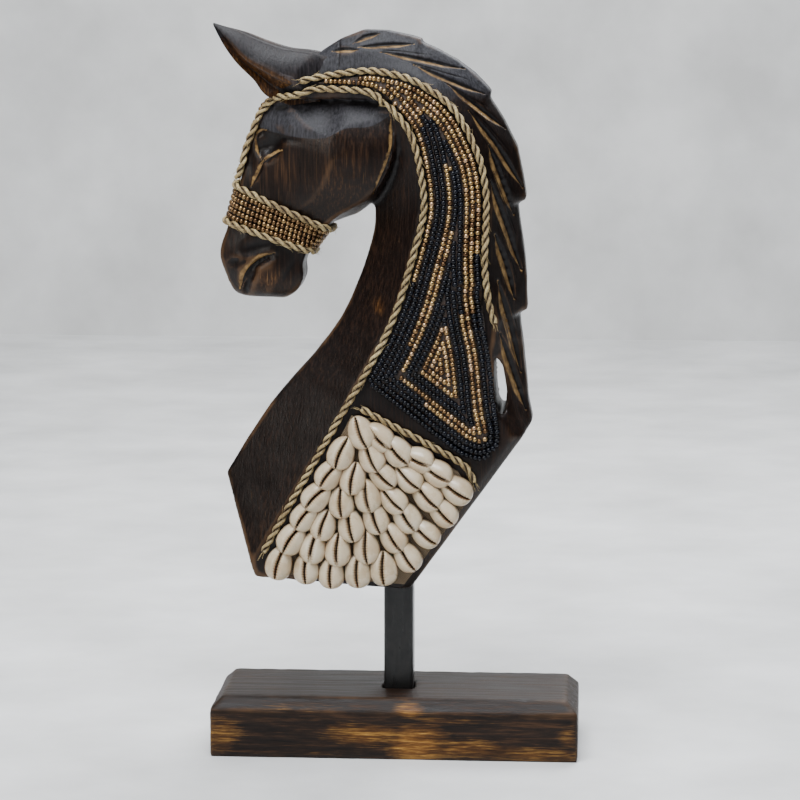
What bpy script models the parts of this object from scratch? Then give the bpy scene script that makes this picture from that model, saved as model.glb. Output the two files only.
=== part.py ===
# Carved wooden horse head and neck on a square post and a block base,
# dressed with glued rope, panels of seed beads and panels of cowrie shells.
# Metres, +Z up. The origin is the centre of the base block's underside.
# The horse looks towards -X; its two sides face -Y and +Y and are alike.

import math

import bmesh
import bpy
from mathutils import Matrix, Vector
from mathutils.bvhtree import BVHTree

# Base block
BASE_LENGTH = 0.200
BASE_DEPTH = 0.075
BASE_HEIGHT = 0.033
BASE_CHAMFER = 0.0065

# Post between the base and the carving
POST_WIDTH = 0.016
POST_EDGE = 0.0018
POST_SHOWN = 0.059
POST_X = 0.001
POST_IN_BASE = 0.018
POST_IN_FIGURE = 0.022

# Clearance left between pieces that touch
TOUCH_GAP = 0.0003

# Carved figure, drawn in millimetres on a sheet where it stands 304 high and 54 thick.
# The sheet's zero is where the post enters the underside.
FIGURE_HEIGHT = 0.304
FIGURE_THICKNESS = 0.054
DRAWN_HEIGHT = 304.0
DRAWN_THICKNESS = 54.0
HALF = DRAWN_THICKNESS / 2

# Glued trim
ROPE_DIAMETER = 0.0033
ROPE_STEP = 0.009
ROPE_SIDES = 1
ROPE_EASE_RATIO = 0.15
ROPE_FIRST_PASSES = 8
ROPE_PASSES = 30
ROPE_EASED_PASSES = 20
SHARP_BEND = math.radians(24)
BEAD_DIAMETER = 0.0030
GLUE_BED = 0.0007
RING_BED = 0.0009
SHELL_LENGTH = 0.0194
SHELL_WIDTH = 0.0154
SHELL_HEIGHT = 0.0056
SHELL_TILT = math.radians(11)
BACKING_THICKNESS = 0.0010

# Neck: each rail runs from the forehead over the poll and down to the chest,
# and the points of one row lie on one cross-section.
# front edge, front ridge, crest ridge, mane edge, half thickness at both ridges
NECK_ROWS = (
    ((-60, 250), (-68, 261), (-60, 271), (-52, 280), 11, 11),
    ((-42, 246), (-44, 266.5), (-40, 278), (-40, 290), 18, 17),
    ((-28, 240), (-22, 266.5), (-18, 281.5), (-19, 300), 21, 19),
    ((-20, 230), (-9, 263), (3, 279), (7.5, 295.5), 23, 21),
    ((-15, 220), (0, 254.5), (21, 270.5), (30.6, 284.4), 25, 24.5),
    ((-13, 211), (7.5, 240.5), (38, 252), (48, 266), 27, 27),
    ((-12.6, 202), (11.5, 222), (47.5, 230), (62.5, 238), 27, 27),
    ((-13.4, 193), (12.5, 207), (50.5, 208), (64, 210), 27, 27),
    ((-16.5, 181), (8.5, 187), (49.7, 188), (66.7, 187), 27, 27),
    ((-21.7, 166.4), (4.5, 169.5), (50, 170), (67.2, 168), 27, 27),
    ((-31, 146.5), (-3.2, 147), (54, 148), (65.4, 150.4), 27, 27),
    ((-46, 126), (-14, 126.5), (50.5, 128), (67.2, 134), 27, 27),
    ((-69.8, 98.6), (-28, 101), (51.5, 111), (69.2, 112), 27, 27),
    ((-94.2, 60.1), (-45.5, 71.5), (57.5, 95), (71.5, 93), 27, 27),
    ((-110, 30), (-66, 36.5), (72, 66), (84, 70), 27, 27),
    ((-130, -14), (-95, -14), (100, 10), (112, 20), 27, 27),
)
FRONT_EDGE_HALF = 7
MANE_EDGE_HALF = 8.5
MANE_SWELL = 2.0
NECK_STEP = 0.5

# Locks of the mane's edge: where each starts and ends along the rows, and how far its tip stands out
MANE_LOCKS = ((0.6, 3.15, 1.8), (3.15, 5.0, 2.8), (5.0, 7.0, 5.0), (7.0, 10.0, 4.6), (10.0, 13.0, 1.0))
NOTCH_LENGTH = 0.05

# Saw cuts across the neck block, each through two points of the drawing, waste on the right of the line
CHEST_CUT = ((-94.4, 60.4), (-76.9, 6.5))
UNDER_CUT = ((-75.7, 6.1), (9.0, 0.0))
REAR_CUT = ((9.0, 1.9), (62.8, 76.8))
REAR_BEVEL = 5.0

# Slot between the neck and the free lock
SLOT = ((52.4, 129.5), (57, 122), (59.2, 108.5), (57.7, 92), (53.4, 100.5), (52.2, 115.5))

# Head: rows from the poll down to the lips.
# front of the face, rear corner of the cheek, jaw line behind it,
# then half widths at the face, brow, cheek, rear corner and jaw
HEAD_ROWS = (
    ((-67, 263), (-12, 262), (-4, 260), 8, 12, 17, 18, 12),
    ((-72, 258.5), (-5, 257), (1, 254), 9, 15, 21, 20.5, 13),
    ((-76, 250), (-1.8, 248.5), (4, 243), 10, 18.5, 24.5, 23.5, 14),
    ((-79.8, 240), (-1.2, 239), (2, 232), 10.5, 19, 26.6, 25.5, 14),
    ((-82.6, 229.5), (-4, 228), (-4, 221), 10.5, 17.5, 26.4, 25.5, 13),
    ((-85.2, 219.5), (-9.5, 218), (-12, 211), 10.5, 16.5, 24.4, 24, 11),
    ((-87.8, 210.5), (-19, 209.5), (-22, 202.4), 10.5, 15.5, 21, 20.5, 9.5),
    ((-90.2, 202), (-32, 202), (-35.5, 197.6), 10.5, 15, 17, 16.5, 9),
    ((-92.6, 193.5), (-45.5, 189), (-46.5, 185), 10.5, 14.5, 15.5, 14, 9),
    ((-96, 185), (-51, 177), (-51.4, 175), 10.5, 15.2, 16, 13.5, 9),
    ((-96.2, 177.5), (-50.6, 171), (-51, 169.5), 10, 15.6, 16.2, 13.5, 9),
    ((-93.4, 169), (-52, 164.8), (-52.8, 163.6), 9, 14.8, 15.4, 12.8, 8.5),
    ((-90, 161), (-55.4, 160), (-56.6, 159), 7.5, 12, 13.2, 11, 7),
    ((-86, 157.4), (-61, 156.4), (-62, 156), 5.5, 8, 8.4, 7.5, 5),
)
BROW_AT = 0.26
CHEEK_AT = 0.60
HEAD_STEP = 0.5

# Ear: rows from the tip into the poll. Upper edge, fold, lower edge, spread
EAR_ROWS = (
    ((-98.2, 304.3), (-98.4, 303.6), (-98.4, 303.2), 0.05),
    ((-86, 300.4), (-89, 294.5), (-93.0, 293.2), 0.42),
    ((-74, 295.5), (-80.5, 285.5), (-85.8, 283.3), 0.72),
    ((-60, 290.9), (-70.5, 279.5), (-76.6, 274.2), 0.92),
    ((-44, 288.6), (-57, 274), (-69.5, 266.5), 1.0),
    ((-30, 280), (-42, 262), (-56, 256), 0.3),
)
EAR_MIDDLE = 14.5
EAR_LOWER_EDGE = 2
# the far ear's tip hangs a little lower, by a shift that fades towards its root
FAR_EAR_SHIFT = (3.5, -3.0)
FAR_EAR_FADE_POWER = 4
EAR_OUT = 7.5
EAR_IN = 7.5
EAR_HOLLOW = 7.5

# Carved grooves of the mane: start, middle and end of each, on the drawing
MANE_GROOVES = (
    ((-35, 289.4), (-29, 290.6), (-21, 290.3)),
    ((-24, 293.6), (-18, 297), (-10, 298.8)),
    ((-21, 291.7), (-6, 293), (8.5, 293.4)),
    ((-9, 289.3), (10, 286), (35.5, 280.2)),
    ((9, 282.7), (28, 274.6), (46.5, 267)),
    ((27.4, 272.5), (44, 260), (57.5, 248.6)),
    ((38.7, 258.9), (53, 240.8), (67.2, 217)),
    ((49.2, 240.5), (56.1, 222.8), (62.6, 203)),
    ((50.5, 221.5), (59.4, 196), (66.6, 173)),
    ((53, 193), (59.2, 175), (63.2, 158)),
    ((54.6, 168), (61, 144.5), (66.8, 118)),
    ((55.8, 140), (62.8, 119.2), (69.6, 97.5)),
)
GROOVE_WIDTH = 3.0
GROOVE_DEPTH = 1.7
GROOVE_STEPS = 4
GROOVE_END_RATIO = 0.45
GROOVE_CLEAR = 2.0

# Carved lines of the head, as the mane's, each with its own width and depth
HEAD_GROOVES = (
    (((-82.5, 252), (-71, 249.3), (-59.5, 243.0)), 3.4, 1.8),
    (((-75.2, 243.5), (-73.9, 237.5), (-72.2, 230.8)), 2.6, 1.6),
    (((-72.2, 230.6), (-66.4, 232.2), (-61.3, 236.4)), 2.6, 1.6),
    (((-73.4, 228.6), (-75.6, 224), (-77.4, 219.8)), 2.4, 1.2),
    (((-3.6, 254), (-3.0, 236), (-12.5, 216.4)), 2.4, 1.2),
    (((-90.5, 172.5), (-86, 175.2), (-80.6, 177.5)), 2.4, 1.2),
)
MOUTH = ((-64.5, 180.5), (-76.6, 174.6), (-83.0, 158.0))
MOUTH_WIDTH = 5.0
MOUTH_DEPTH = 3.2
MOUTH_NOTCH = ((-87.8, 153), (-85.7, 163.4), (-84.7, 163.2), (-84.2, 153))

# Rope and bead lines on the drawing
FRONT_ROPE = (
    (-87.2, 221.2), (-84.8, 230.5), (-82.4, 241.5), (-78.4, 251.7), (-74.0, 258.8), (-66.5, 263.1),
    (-55.5, 267), (-43.5, 269.4), (-22, 268.8), (-11, 266.6), (-1.7, 258.8), (8.3, 245.2),
    (13.7, 223.7), (15.1, 208), (12.7, 194.2), (9.4, 182.1), (2.6, 158.3), (-5.9, 137.5), (-18, 115),
    (-24.8, 103.5), (-39.6, 77.5), (-60, 41.5), (-71.8, 20.5),
)
CREST_ROPE = (
    (-52.3, 273.3), (-39, 276), (-15.9, 279.1), (-2.5, 277.4), (7.5, 274.7), (17.7, 269.7),
    (27.8, 262.1), (35.2, 252.7), (40.7, 242), (45.4, 229.9), (47.9, 213), (47.6, 191.4),
    (47.3, 176), (49.4, 158), (52.6, 146.2),
)
SHELL_ROPE = ((-18.6, 99.4), (-1.9, 90.4), (18.6, 79.8), (37.2, 68.9), (42.0, 60))
FACE_ROPE_HALF = 12.5
NOSEBAND_UPPER = ((-86.8, 216.9), (-38.0, 194.8))
NOSEBAND_LOWER = ((-93.5, 198.3), (-48.5, 182.9))
NOSEBAND_BEAD_ROWS = 5
NOSEBAND_CLEAR = 0.0003
BEAD_VALLEY_RATIO = 0.6

# Neck bead panel: it follows each rope from a least x behind the ear down to a least z,
# then has a left corner of its own and its own rear edge down to the foot
PANEL_FRONT_FROM = (-44, 113)
PANEL_CREST_FROM = (-44, 164)
PANEL_CLEAR = 0.0008
PANEL_LEFT_FOOT = (-13.6, 111.0)
PANEL_REAR = ((44.6, 162), (46.9, 146), (49.0, 134), (50.2, 119), (51.4, 101), (55.0, 88), (54.0, 79))
PANEL_FOOT = (45.6, 72.2)
PANEL_ROWS = 24

# Bead strip down the face, laid on it from a little in front and above
FACE_STRIP = ((-67.5, 262.5), (-73.6, 256), (-77.4, 247), (-81.2, 236), (-84, 224.5))
FACE_STRIP_HALF = 7.6
FACE_STRIP_FROM = (-30, 8)
FACE_STRIP_ROWS = 12

# Cowrie panel: middle of each shell, and the way its narrow end points in degrees from straight down
SHELL_PLACES = (
    (-18.4, 86.6, 24), (-9.1, 84.2, 48),
    (-29.2, 75.4, -20), (-12.9, 73.5, 25), (0.7, 76.7, 45), (12.3, 72.2, 70),
    (-35.8, 63.5, -36), (-22.8, 61.6, -8), (-6.7, 63.3, 48), (7.1, 62.2, 50), (22.2, 65.2, 62), (32.6, 56.0, 60),
    (-42.6, 51.5, -44), (-29.2, 48.4, 5), (-15.1, 52.2, 12), (-1.1, 50.3, 48), (17.2, 52.6, 46),
    (-49.2, 40.6, -36), (-39.0, 35.8, -15), (-24.1, 35.8, 12), (-10.7, 39.9, 20), (6.1, 40.9, 35), (25.7, 43.7, 45),
    (-56.2, 28.2, -32), (-44.6, 23.5, -10), (-31.2, 22.4, 0), (-15.7, 23.9, 5), (-1.3, 29.6, 35), (16.0, 32.0, 52),
    (6.3, 19.2, 35), (-63.1, 14.5, -14), (-48.4, 12.0, 0), (-34.8, 9.8, 0), (-20.4, 10.7, 3), (-6.4, 12.6, 4),
)
BACKING = (
    (-24, 95.5), (-17.5, 94.2), (-2.6, 85.4), (17.5, 74.9), (33.5, 65.6), (38.6, 56), (37.6, 48),
    (4.5, 3.4), (-68.6, 8.6), (-66.0, 19.4), (-54.4, 39.6), (-34.4, 75.2),
)


def at(x, y, z):
    """A point of the drawing, y outwards from its middle plane, in the part's frame."""
    return Vector((
        POST_X + x * FIGURE_HEIGHT / DRAWN_HEIGHT,
        y * FIGURE_THICKNESS / DRAWN_THICKNESS,
        BASE_HEIGHT + POST_SHOWN + z * FIGURE_HEIGHT / DRAWN_HEIGHT,
    ))


def drawn(length):
    """A length of the drawing in metres."""
    return length * FIGURE_HEIGHT / DRAWN_HEIGHT


def clear_scene():
    for thing in list(bpy.data.objects):
        bpy.data.objects.remove(thing)


def material(name, colour, roughness, metallic=0.0):
    made = bpy.data.materials.new(name)
    made.use_nodes = True
    shader = made.node_tree.nodes["Principled BSDF"]
    shader.inputs["Base Color"].default_value = (*colour, 1.0)
    shader.inputs["Roughness"].default_value = roughness
    shader.inputs["Metallic"].default_value = metallic
    return made


def add_object(name, data, finish):
    thing = bpy.data.objects.new(name, data)
    bpy.context.scene.collection.objects.link(thing)
    data.materials.clear()
    data.materials.append(finish)
    return thing


def mesh_from(name, work):
    """The bmesh as a mesh with its faces pointing out."""
    bmesh.ops.recalc_face_normals(work, faces=work.faces)
    made = bpy.data.meshes.new(name)
    work.to_mesh(made)
    work.free()
    return made


def smooth_curve(points, where):
    """Catmull-Rom point at a fractional index of a list of number tuples."""
    last = len(points) - 1
    index = min(max(int(where), 0), last - 1)
    local = where - index
    before = points[max(index - 1, 0)]
    start = points[index]
    end = points[index + 1]
    after = points[min(index + 2, last)]
    made = []
    for a, b, c, d in zip(before, start, end, after):
        made.append(0.5 * (
            2 * b + (c - a) * local
            + (2 * a - 5 * b + 4 * c - d) * local ** 2
            + (3 * b - a - 3 * c + d) * local ** 3
        ))
    return made


def sample(points, step):
    """A smooth path through the points, cut into equal steps of about the length given."""
    fine = [smooth_curve(points, i / 12) for i in range(12 * (len(points) - 1) + 1)]
    lengths = [0.0]
    for one, two in zip(fine, fine[1:]):
        lengths.append(lengths[-1] + math.dist(one, two))
    count = max(2, round(lengths[-1] / step))
    made = []
    index = 0
    for i in range(count + 1):
        wanted = lengths[-1] * i / count
        while index < len(fine) - 2 and lengths[index + 1] < wanted:
            index += 1
        share = (wanted - lengths[index]) / (lengths[index + 1] - lengths[index])
        made.append([a + (b - a) * min(share, 1.0) for a, b in zip(fine[index], fine[index + 1])])
    return made


def shifted(points, distance):
    """A drawn path moved sideways, to the right of its direction where the distance is positive."""
    made = []
    for i, (x, z) in enumerate(points):
        before = points[max(i - 1, 0)]
        after = points[min(i + 1, len(points) - 1)]
        along = Vector((after[0] - before[0], after[1] - before[1])).normalized()
        made.append((x + along.y * distance, z - along.x * distance))
    return made


def loft(rings, name):
    """A closed mesh through rings of points that all have one count."""
    work = bmesh.new()
    rows = [[work.verts.new(point) for point in ring] for ring in rings]
    count = len(rows[0])
    for one, two in zip(rows, rows[1:]):
        for i in range(count):
            j = (i + 1) % count
            work.faces.new((one[i], one[j], two[j], two[i]))
    work.faces.new(rows[0])
    work.faces.new(rows[-1])
    return mesh_from(name, work)


def boolean(body, tool_mesh, operation):
    """Joins or cuts the body with a mesh and keeps the result as the body's own mesh."""
    tool = bpy.data.objects.new("tool", tool_mesh)
    bpy.context.scene.collection.objects.link(tool)
    cut = body.modifiers.new("cut", "BOOLEAN")
    cut.operation = operation
    cut.solver = "EXACT"
    cut.object = tool
    depsgraph = bpy.context.evaluated_depsgraph_get()
    made = bpy.data.meshes.new_from_object(body.evaluated_get(depsgraph))
    body.modifiers.remove(cut)
    body.data = made
    bpy.data.objects.remove(tool)


def surface_of(body):
    work = bmesh.new()
    work.from_mesh(body.data)
    tree = BVHTree.FromBMesh(work)
    work.free()
    return tree


# Neck and mane

def neck_section(where):
    """The ten points of the neck's cross-section at a fractional row."""
    front = smooth_curve([row[0] for row in NECK_ROWS], where)
    ridge = smooth_curve([row[1] for row in NECK_ROWS], where)
    crest = smooth_curve([row[2] for row in NECK_ROWS], where)
    mane = Vector(smooth_curve([row[3] for row in NECK_ROWS], where))
    ridge_half, crest_half = smooth_curve([row[4:] for row in NECK_ROWS], where)
    ridge_half = min(ridge_half, HALF)
    crest_half = min(crest_half, HALF)
    middle = (Vector(crest) + mane) / 2
    outwards = (mane - Vector(crest)).normalized()
    for start, end, stand in MANE_LOCKS:
        if start < where <= end:
            mane += outwards * stand * ((where - start) / (end - start)) ** 2
    middle_half = (crest_half + MANE_EDGE_HALF) / 2 + MANE_SWELL
    front_half = min(FRONT_EDGE_HALF, ridge_half)
    near = (
        (front, front_half), (ridge, ridge_half), (crest, crest_half),
        (middle, middle_half), (mane, MANE_EDGE_HALF),
    )
    ring = [at(x, -half, z) for (x, z), half in near]
    return ring + [at(x, half, z) for (x, z), half in reversed(near)]


def neck_mesh():
    last = len(NECK_ROWS) - 1
    places = [i * NECK_STEP for i in range(int(last / NECK_STEP) + 1)]
    notches = [end for _, end, _ in MANE_LOCKS[:-1]]
    places = [p for p in places if all(abs(p - n) > NOTCH_LENGTH for n in notches)]
    for notch in notches:
        places += [notch, notch + NOTCH_LENGTH]
    return loft([neck_section(place) for place in sorted(places)], "neck")


def saw(body, first, second, lean=0.0, side=1, shift=0.0):
    """Cuts the body along a line of the drawing and closes the cut. The waste is on the line's right.
    A lean turns the cut towards one side face, for a bevel."""
    start = Vector(first)
    along = (Vector(second) - start).normalized()
    outwards = Vector((along.y, -along.x))
    start -= outwards * shift
    normal = Vector((outwards.x * math.cos(lean), side * math.sin(lean), outwards.y * math.cos(lean)))
    work = bmesh.new()
    work.from_mesh(body.data)
    point = at(start.x, side * HALF if lean else 0, start.y)
    everything = list(work.verts) + list(work.edges) + list(work.faces)
    cut = bmesh.ops.bisect_plane(
        work, geom=everything, dist=1e-7, plane_co=point, plane_no=normal, clear_outer=True,
    )
    edges = [part for part in cut["geom_cut"] if isinstance(part, bmesh.types.BMEdge)]
    bmesh.ops.contextual_create(work, geom=edges)
    body.data = mesh_from("sawn", work)


# Head and ears

def head_section(where):
    """The ten points of the head's cross-section at a fractional row."""
    front = smooth_curve([row[0] for row in HEAD_ROWS], where)
    corner = smooth_curve([row[1] for row in HEAD_ROWS], where)
    jaw = smooth_curve([row[2] for row in HEAD_ROWS], where)
    halves = smooth_curve([row[3:] for row in HEAD_ROWS], where)
    brow = Vector(front).lerp(Vector(corner), BROW_AT)
    cheek = Vector(front).lerp(Vector(corner), CHEEK_AT)
    places = (front, brow, cheek, corner, jaw)
    ring = [at(x, -half, z) for (x, z), half in zip(places, halves)]
    return ring + [at(x, half, z) for (x, z), half in reversed(list(zip(places, halves)))]


def head_mesh():
    count = int((len(HEAD_ROWS) - 1) / HEAD_STEP)
    return loft([head_section(i * HEAD_STEP) for i in range(count + 1)], "head")


def ear_mesh(side):
    """One ear: a horn-shaped loft whose lower outer side is hollow."""
    rings = []
    for i in range(2 * len(EAR_ROWS) - 1):
        upper = smooth_curve([row[0] for row in EAR_ROWS], i / 2)
        fold = smooth_curve([row[1] for row in EAR_ROWS], i / 2)
        lower = smooth_curve([row[2] for row in EAR_ROWS], i / 2)
        spread = smooth_curve([row[3:] for row in EAR_ROWS], i / 2)[0]
        hollow = (Vector(fold) + Vector(lower)) / 2
        inner = (Vector(upper) + Vector(lower)) / 2
        points = (
            (upper, EAR_MIDDLE),
            (fold, EAR_MIDDLE + EAR_OUT * spread),
            (hollow, EAR_MIDDLE + (EAR_OUT - EAR_HOLLOW) * spread),
            (lower, EAR_MIDDLE + EAR_LOWER_EDGE * spread),
            (inner, EAR_MIDDLE - EAR_IN * spread),
        )
        near_tip = (1 - i / (2 * len(EAR_ROWS) - 2)) ** FAR_EAR_FADE_POWER if side > 0 else 0
        move_x, move_z = [shift * near_tip for shift in FAR_EAR_SHIFT]
        rings.append([at(x + move_x, side * y, z + move_z) for (x, z), y in points])
    return loft(rings, "ear")


# Carved lines

def groove_mesh(surface, line, width, depth, side):
    """A V-shaped cutter that follows a drawn line over one side of the carving."""
    tops_one = []
    tops_two = []
    roots = []
    hits = []
    for i in range(GROOVE_STEPS + 1):
        x, z = smooth_curve(line, i * (len(line) - 1) / GROOVE_STEPS)
        start = at(x, side * 2 * HALF, z)
        point, normal, _, _ = surface.ray_cast(start, Vector((0, -side, 0)))
        if point is not None:
            hits.append((point, normal))
    for i, (point, normal) in enumerate(hits):
        along = (hits[min(i + 1, len(hits) - 1)][0] - hits[max(i - 1, 0)][0]).normalized()
        normal = (normal + hits[max(i - 1, 0)][1] + hits[min(i + 1, len(hits) - 1)][1]).normalized()
        across = normal.cross(along).normalized()
        taper = 1.0 if 0 < i < len(hits) - 1 else GROOVE_END_RATIO
        half = drawn(width) / 2 * taper
        reach = drawn(depth) * taper
        clear = drawn(GROOVE_CLEAR)
        lift = 1.0 + clear / reach
        tops_one.append(point + across * half * lift + normal * clear)
        tops_two.append(point - across * half * lift + normal * clear)
        roots.append(point - normal * reach)
    return loft([list(ring) for ring in zip(tops_one, tops_two, roots)], "groove")


def prism_mesh(outline, reach):
    """A drawn outline pushed through the carving from side to side."""
    return loft([[at(x, y, z) for x, z in outline] for y in (-reach, reach)], "prism")


def box_mesh(length, depth, low, high, x):
    work = bmesh.new()
    place = Matrix.Translation((x, 0, (low + high) / 2))
    size = Matrix.Diagonal((length, depth, high - low, 1.0))
    bmesh.ops.create_cube(work, size=1.0, matrix=place @ size)
    return mesh_from("box", work)


def carve_horse(finish):
    body = add_object("carved_horse", neck_mesh(), finish)
    saw(body, *UNDER_CUT)
    saw(body, *CHEST_CUT)
    saw(body, *REAR_CUT)
    for side in (-1, 1):
        saw(body, *REAR_CUT, lean=math.pi / 4, side=side, shift=REAR_BEVEL)
    work = bmesh.new()
    work.from_mesh(body.data)
    bmesh.ops.dissolve_limit(
        work, angle_limit=math.radians(0.2), verts=work.verts, edges=work.edges, use_dissolve_boundaries=False,
    )
    body.data = mesh_from("block", work)
    boolean(body, head_mesh(), "UNION")
    for side in (-1, 1):
        boolean(body, ear_mesh(side), "UNION")
    boolean(body, prism_mesh(SLOT, 2 * HALF), "DIFFERENCE")
    boolean(body, prism_mesh(MOUTH_NOTCH, 2 * HALF), "DIFFERENCE")
    surface = surface_of(body)
    for side in (-1, 1):
        for line in MANE_GROOVES:
            boolean(body, groove_mesh(surface, line, GROOVE_WIDTH, GROOVE_DEPTH, side), "DIFFERENCE")
        for line, width, depth in HEAD_GROOVES:
            boolean(body, groove_mesh(surface, line, width, depth, side), "DIFFERENCE")
        boolean(body, groove_mesh(surface, MOUTH, MOUTH_WIDTH, MOUTH_DEPTH, side), "DIFFERENCE")
    socket = POST_WIDTH + 2 * TOUCH_GAP
    top = at(0, 0, 0).z + POST_IN_FIGURE
    boolean(body, box_mesh(socket, socket, at(0, 0, -20).z, top, POST_X), "DIFFERENCE")
    body.data.materials.clear()
    body.data.materials.append(finish)
    return body


# Base and post

def base_block(finish):
    work = bmesh.new()
    size = Matrix.Diagonal((BASE_LENGTH, BASE_DEPTH, BASE_HEIGHT, 1.0))
    bmesh.ops.create_cube(work, size=1.0, matrix=Matrix.Translation((0, 0, BASE_HEIGHT / 2)) @ size)
    top = [edge for edge in work.edges if all(v.co.z > BASE_HEIGHT / 2 for v in edge.verts)]
    bmesh.ops.bevel(
        work, geom=top, offset=BASE_CHAMFER, offset_type="OFFSET", affect="EDGES",
        segments=1, profile=0.5, material=-1,
    )
    body = add_object("base_block", mesh_from("base_block", work), finish)
    socket = POST_WIDTH + 2 * TOUCH_GAP
    low = BASE_HEIGHT - POST_IN_BASE
    boolean(body, box_mesh(socket, socket, low, 2 * BASE_HEIGHT, POST_X), "DIFFERENCE")
    body.data.materials.clear()
    body.data.materials.append(finish)
    return body


def post(finish):
    low = BASE_HEIGHT - POST_IN_BASE + TOUCH_GAP
    high = at(0, 0, 0).z + POST_IN_FIGURE - TOUCH_GAP
    work = bmesh.new()
    work.from_mesh(box_mesh(POST_WIDTH, POST_WIDTH, low, high, POST_X))
    upright = [e for e in work.edges if abs(e.verts[0].co.z - e.verts[1].co.z) > POST_WIDTH]
    bmesh.ops.bevel(
        work, geom=upright, offset=POST_EDGE, offset_type="OFFSET", affect="EDGES",
        segments=2, profile=0.5, material=-1,
    )
    return add_object("post", mesh_from("post", work), finish)


# Ropes

def eased(points, share, least_bend=0.0):
    """A path with each inner point that bends enough moved towards the middle of its neighbours."""
    made = [points[0]]
    for before, point, after in zip(points, points[1:], points[2:]):
        bend = (point - before).angle(after - point)
        made.append(point.lerp((before + after) / 2, share) if bend >= least_bend else point)
    return made + [points[-1]]


def off_surface(surface, points, distance):
    """Moves a path until each of its points, and the stretches between, stand off the carving."""
    points = [Vector(point) for point in points]
    for _ in range(ROPE_FIRST_PASSES):
        for i, point in enumerate(points):
            near, normal, _, _ = surface.find_nearest(point)
            away = point - near
            if away.dot(normal) < 0 or away.length < 1e-6:
                away = normal
            points[i] = near + away.normalized() * distance
        points = eased(points, ROPE_EASE_RATIO)
    for turn in range(ROPE_PASSES):
        if turn < ROPE_EASED_PASSES:
            points = eased(points, ROPE_EASE_RATIO, SHARP_BEND)
        for i in range(len(points) - 1):
            for share in (0, 0.25, 0.5, 0.75, 1):
                point = points[i].lerp(points[i + 1], share)
                near, normal, _, _ = surface.find_nearest(point)
                away = point - near
                if away.dot(normal) < 0:
                    away = normal
                if away.length < distance:
                    push = near + away.normalized() * (distance + TOUCH_GAP) - point
                    points[i] += push
                    points[i + 1] += push
    return points


def laid_path(surface, line, side, distance):
    """A drawn line laid on one side of the carving."""
    points = []
    step = ROPE_STEP * DRAWN_HEIGHT / FIGURE_HEIGHT
    for x, z in sample(line, step):
        start = at(x, side * 3 * HALF, z)
        point, normal, _, _ = surface.ray_cast(start, Vector((0, -side, 0)))
        if point is None:
            point, normal, _, _ = surface.find_nearest(at(x, side * FACE_ROPE_HALF, z))
        points.append(point + normal * distance)
    return off_surface(surface, points, distance)


def ring_path(first, second, distance):
    """A loop round the muzzle in the plane through two drawn points, off the carving by the distance."""
    start = at(first[0], 0, first[1])
    along = (at(second[0], 0, second[1]) - start).normalized()
    normal = Vector((-along.z, 0, along.x))
    rings = [head_section(i * HEAD_STEP) for i in range(int((len(HEAD_ROWS) - 1) / HEAD_STEP) + 1)]
    corners = []
    for rail in zip(*rings):
        for one, two in zip(rail, rail[1:]):
            above = (one - start).dot(normal)
            below = (two - start).dot(normal)
            if above > 0 >= below:
                point = one.lerp(two, above / (above - below))
                corners.append(Vector(((point - start).dot(along), point.y)))
                break
    points = []
    for i, corner in enumerate(corners):
        into = (corner - corners[i - 1]).normalized()
        out = (corners[(i + 1) % len(corners)] - corner).normalized()
        side_in = Vector((into.y, -into.x))
        side_out = Vector((out.y, -out.x))
        mitre = (side_in + side_out) / (1 + side_in.dot(side_out))
        if mitre.dot(corner - sum(corners, Vector((0, 0))) / len(corners)) < 0:
            mitre = -mitre
        moved = corner + mitre * distance
        points.append(start + along * moved.x + Vector((0, moved.y, 0)))
    return points


def rope(name, points, finish, closed=False):
    curve = bpy.data.curves.new(name, "CURVE")
    curve.dimensions = "3D"
    curve.bevel_depth = ROPE_DIAMETER / 2
    curve.bevel_resolution = ROPE_SIDES
    curve.use_fill_caps = True
    line = curve.splines.new("POLY")
    line.points.add(len(points) - 1)
    for target, point in zip(line.points, points):
        target.co = (*point, 1.0)
    line.use_cyclic_u = closed
    return add_object(name, curve, finish)


# Bead panels

def plate_mesh(rows, surface, gap, thickness, name):
    """A plate over rows of points on the carving, standing off it by the gap."""
    inner = []
    outer = []
    for row in rows:
        laid = []
        for point in row:
            near, normal, _, _ = surface.find_nearest(point)
            laid.append((near, normal))
        inner.append([near + normal * gap for near, normal in laid])
        outer.append([near + normal * (gap + thickness) for near, normal in laid])
    rings = [low + high[::-1] for low, high in zip(inner, outer)]
    return loft(rings, name)


def cast(surface, x, z, side):
    start = at(x, side * 3 * HALF, z)
    return surface.ray_cast(start, Vector((0, -side, 0)))[0]


def neck_beads(name, surface, side, finish):
    """The panel between the front rope and the crest rope, down to its slanted foot."""
    clear = (ROPE_DIAMETER / 2 + TOUCH_GAP + PANEL_CLEAR) * DRAWN_HEIGHT / FIGURE_HEIGHT
    front = shifted(sample(FRONT_ROPE, 3), -clear)
    rear = shifted(sample(CREST_ROPE, 3), clear)
    front = [p for p in front if p[0] > PANEL_FRONT_FROM[0] and p[1] > PANEL_FRONT_FROM[1]]
    rear = [p for p in rear if p[0] > PANEL_CREST_FROM[0] and p[1] > PANEL_CREST_FROM[1]]
    front = front + [PANEL_LEFT_FOOT]
    rear = rear + [*PANEL_REAR, PANEL_FOOT]
    left = [smooth_curve(front, i * (len(front) - 1) / PANEL_ROWS) for i in range(PANEL_ROWS + 1)]
    right = [smooth_curve(rear, i * (len(rear) - 1) / PANEL_ROWS) for i in range(PANEL_ROWS + 1)]
    rows = []
    for one, two in zip(left, right):
        line = [Vector(one).lerp(Vector(two), share) for share in (0, 0.5, 1)]
        rows.append([cast(surface, x, z, side) for x, z in line])
    made = plate_mesh(rows, surface, GLUE_BED, BEAD_DIAMETER, name)
    return add_object(name, made, finish)


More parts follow.
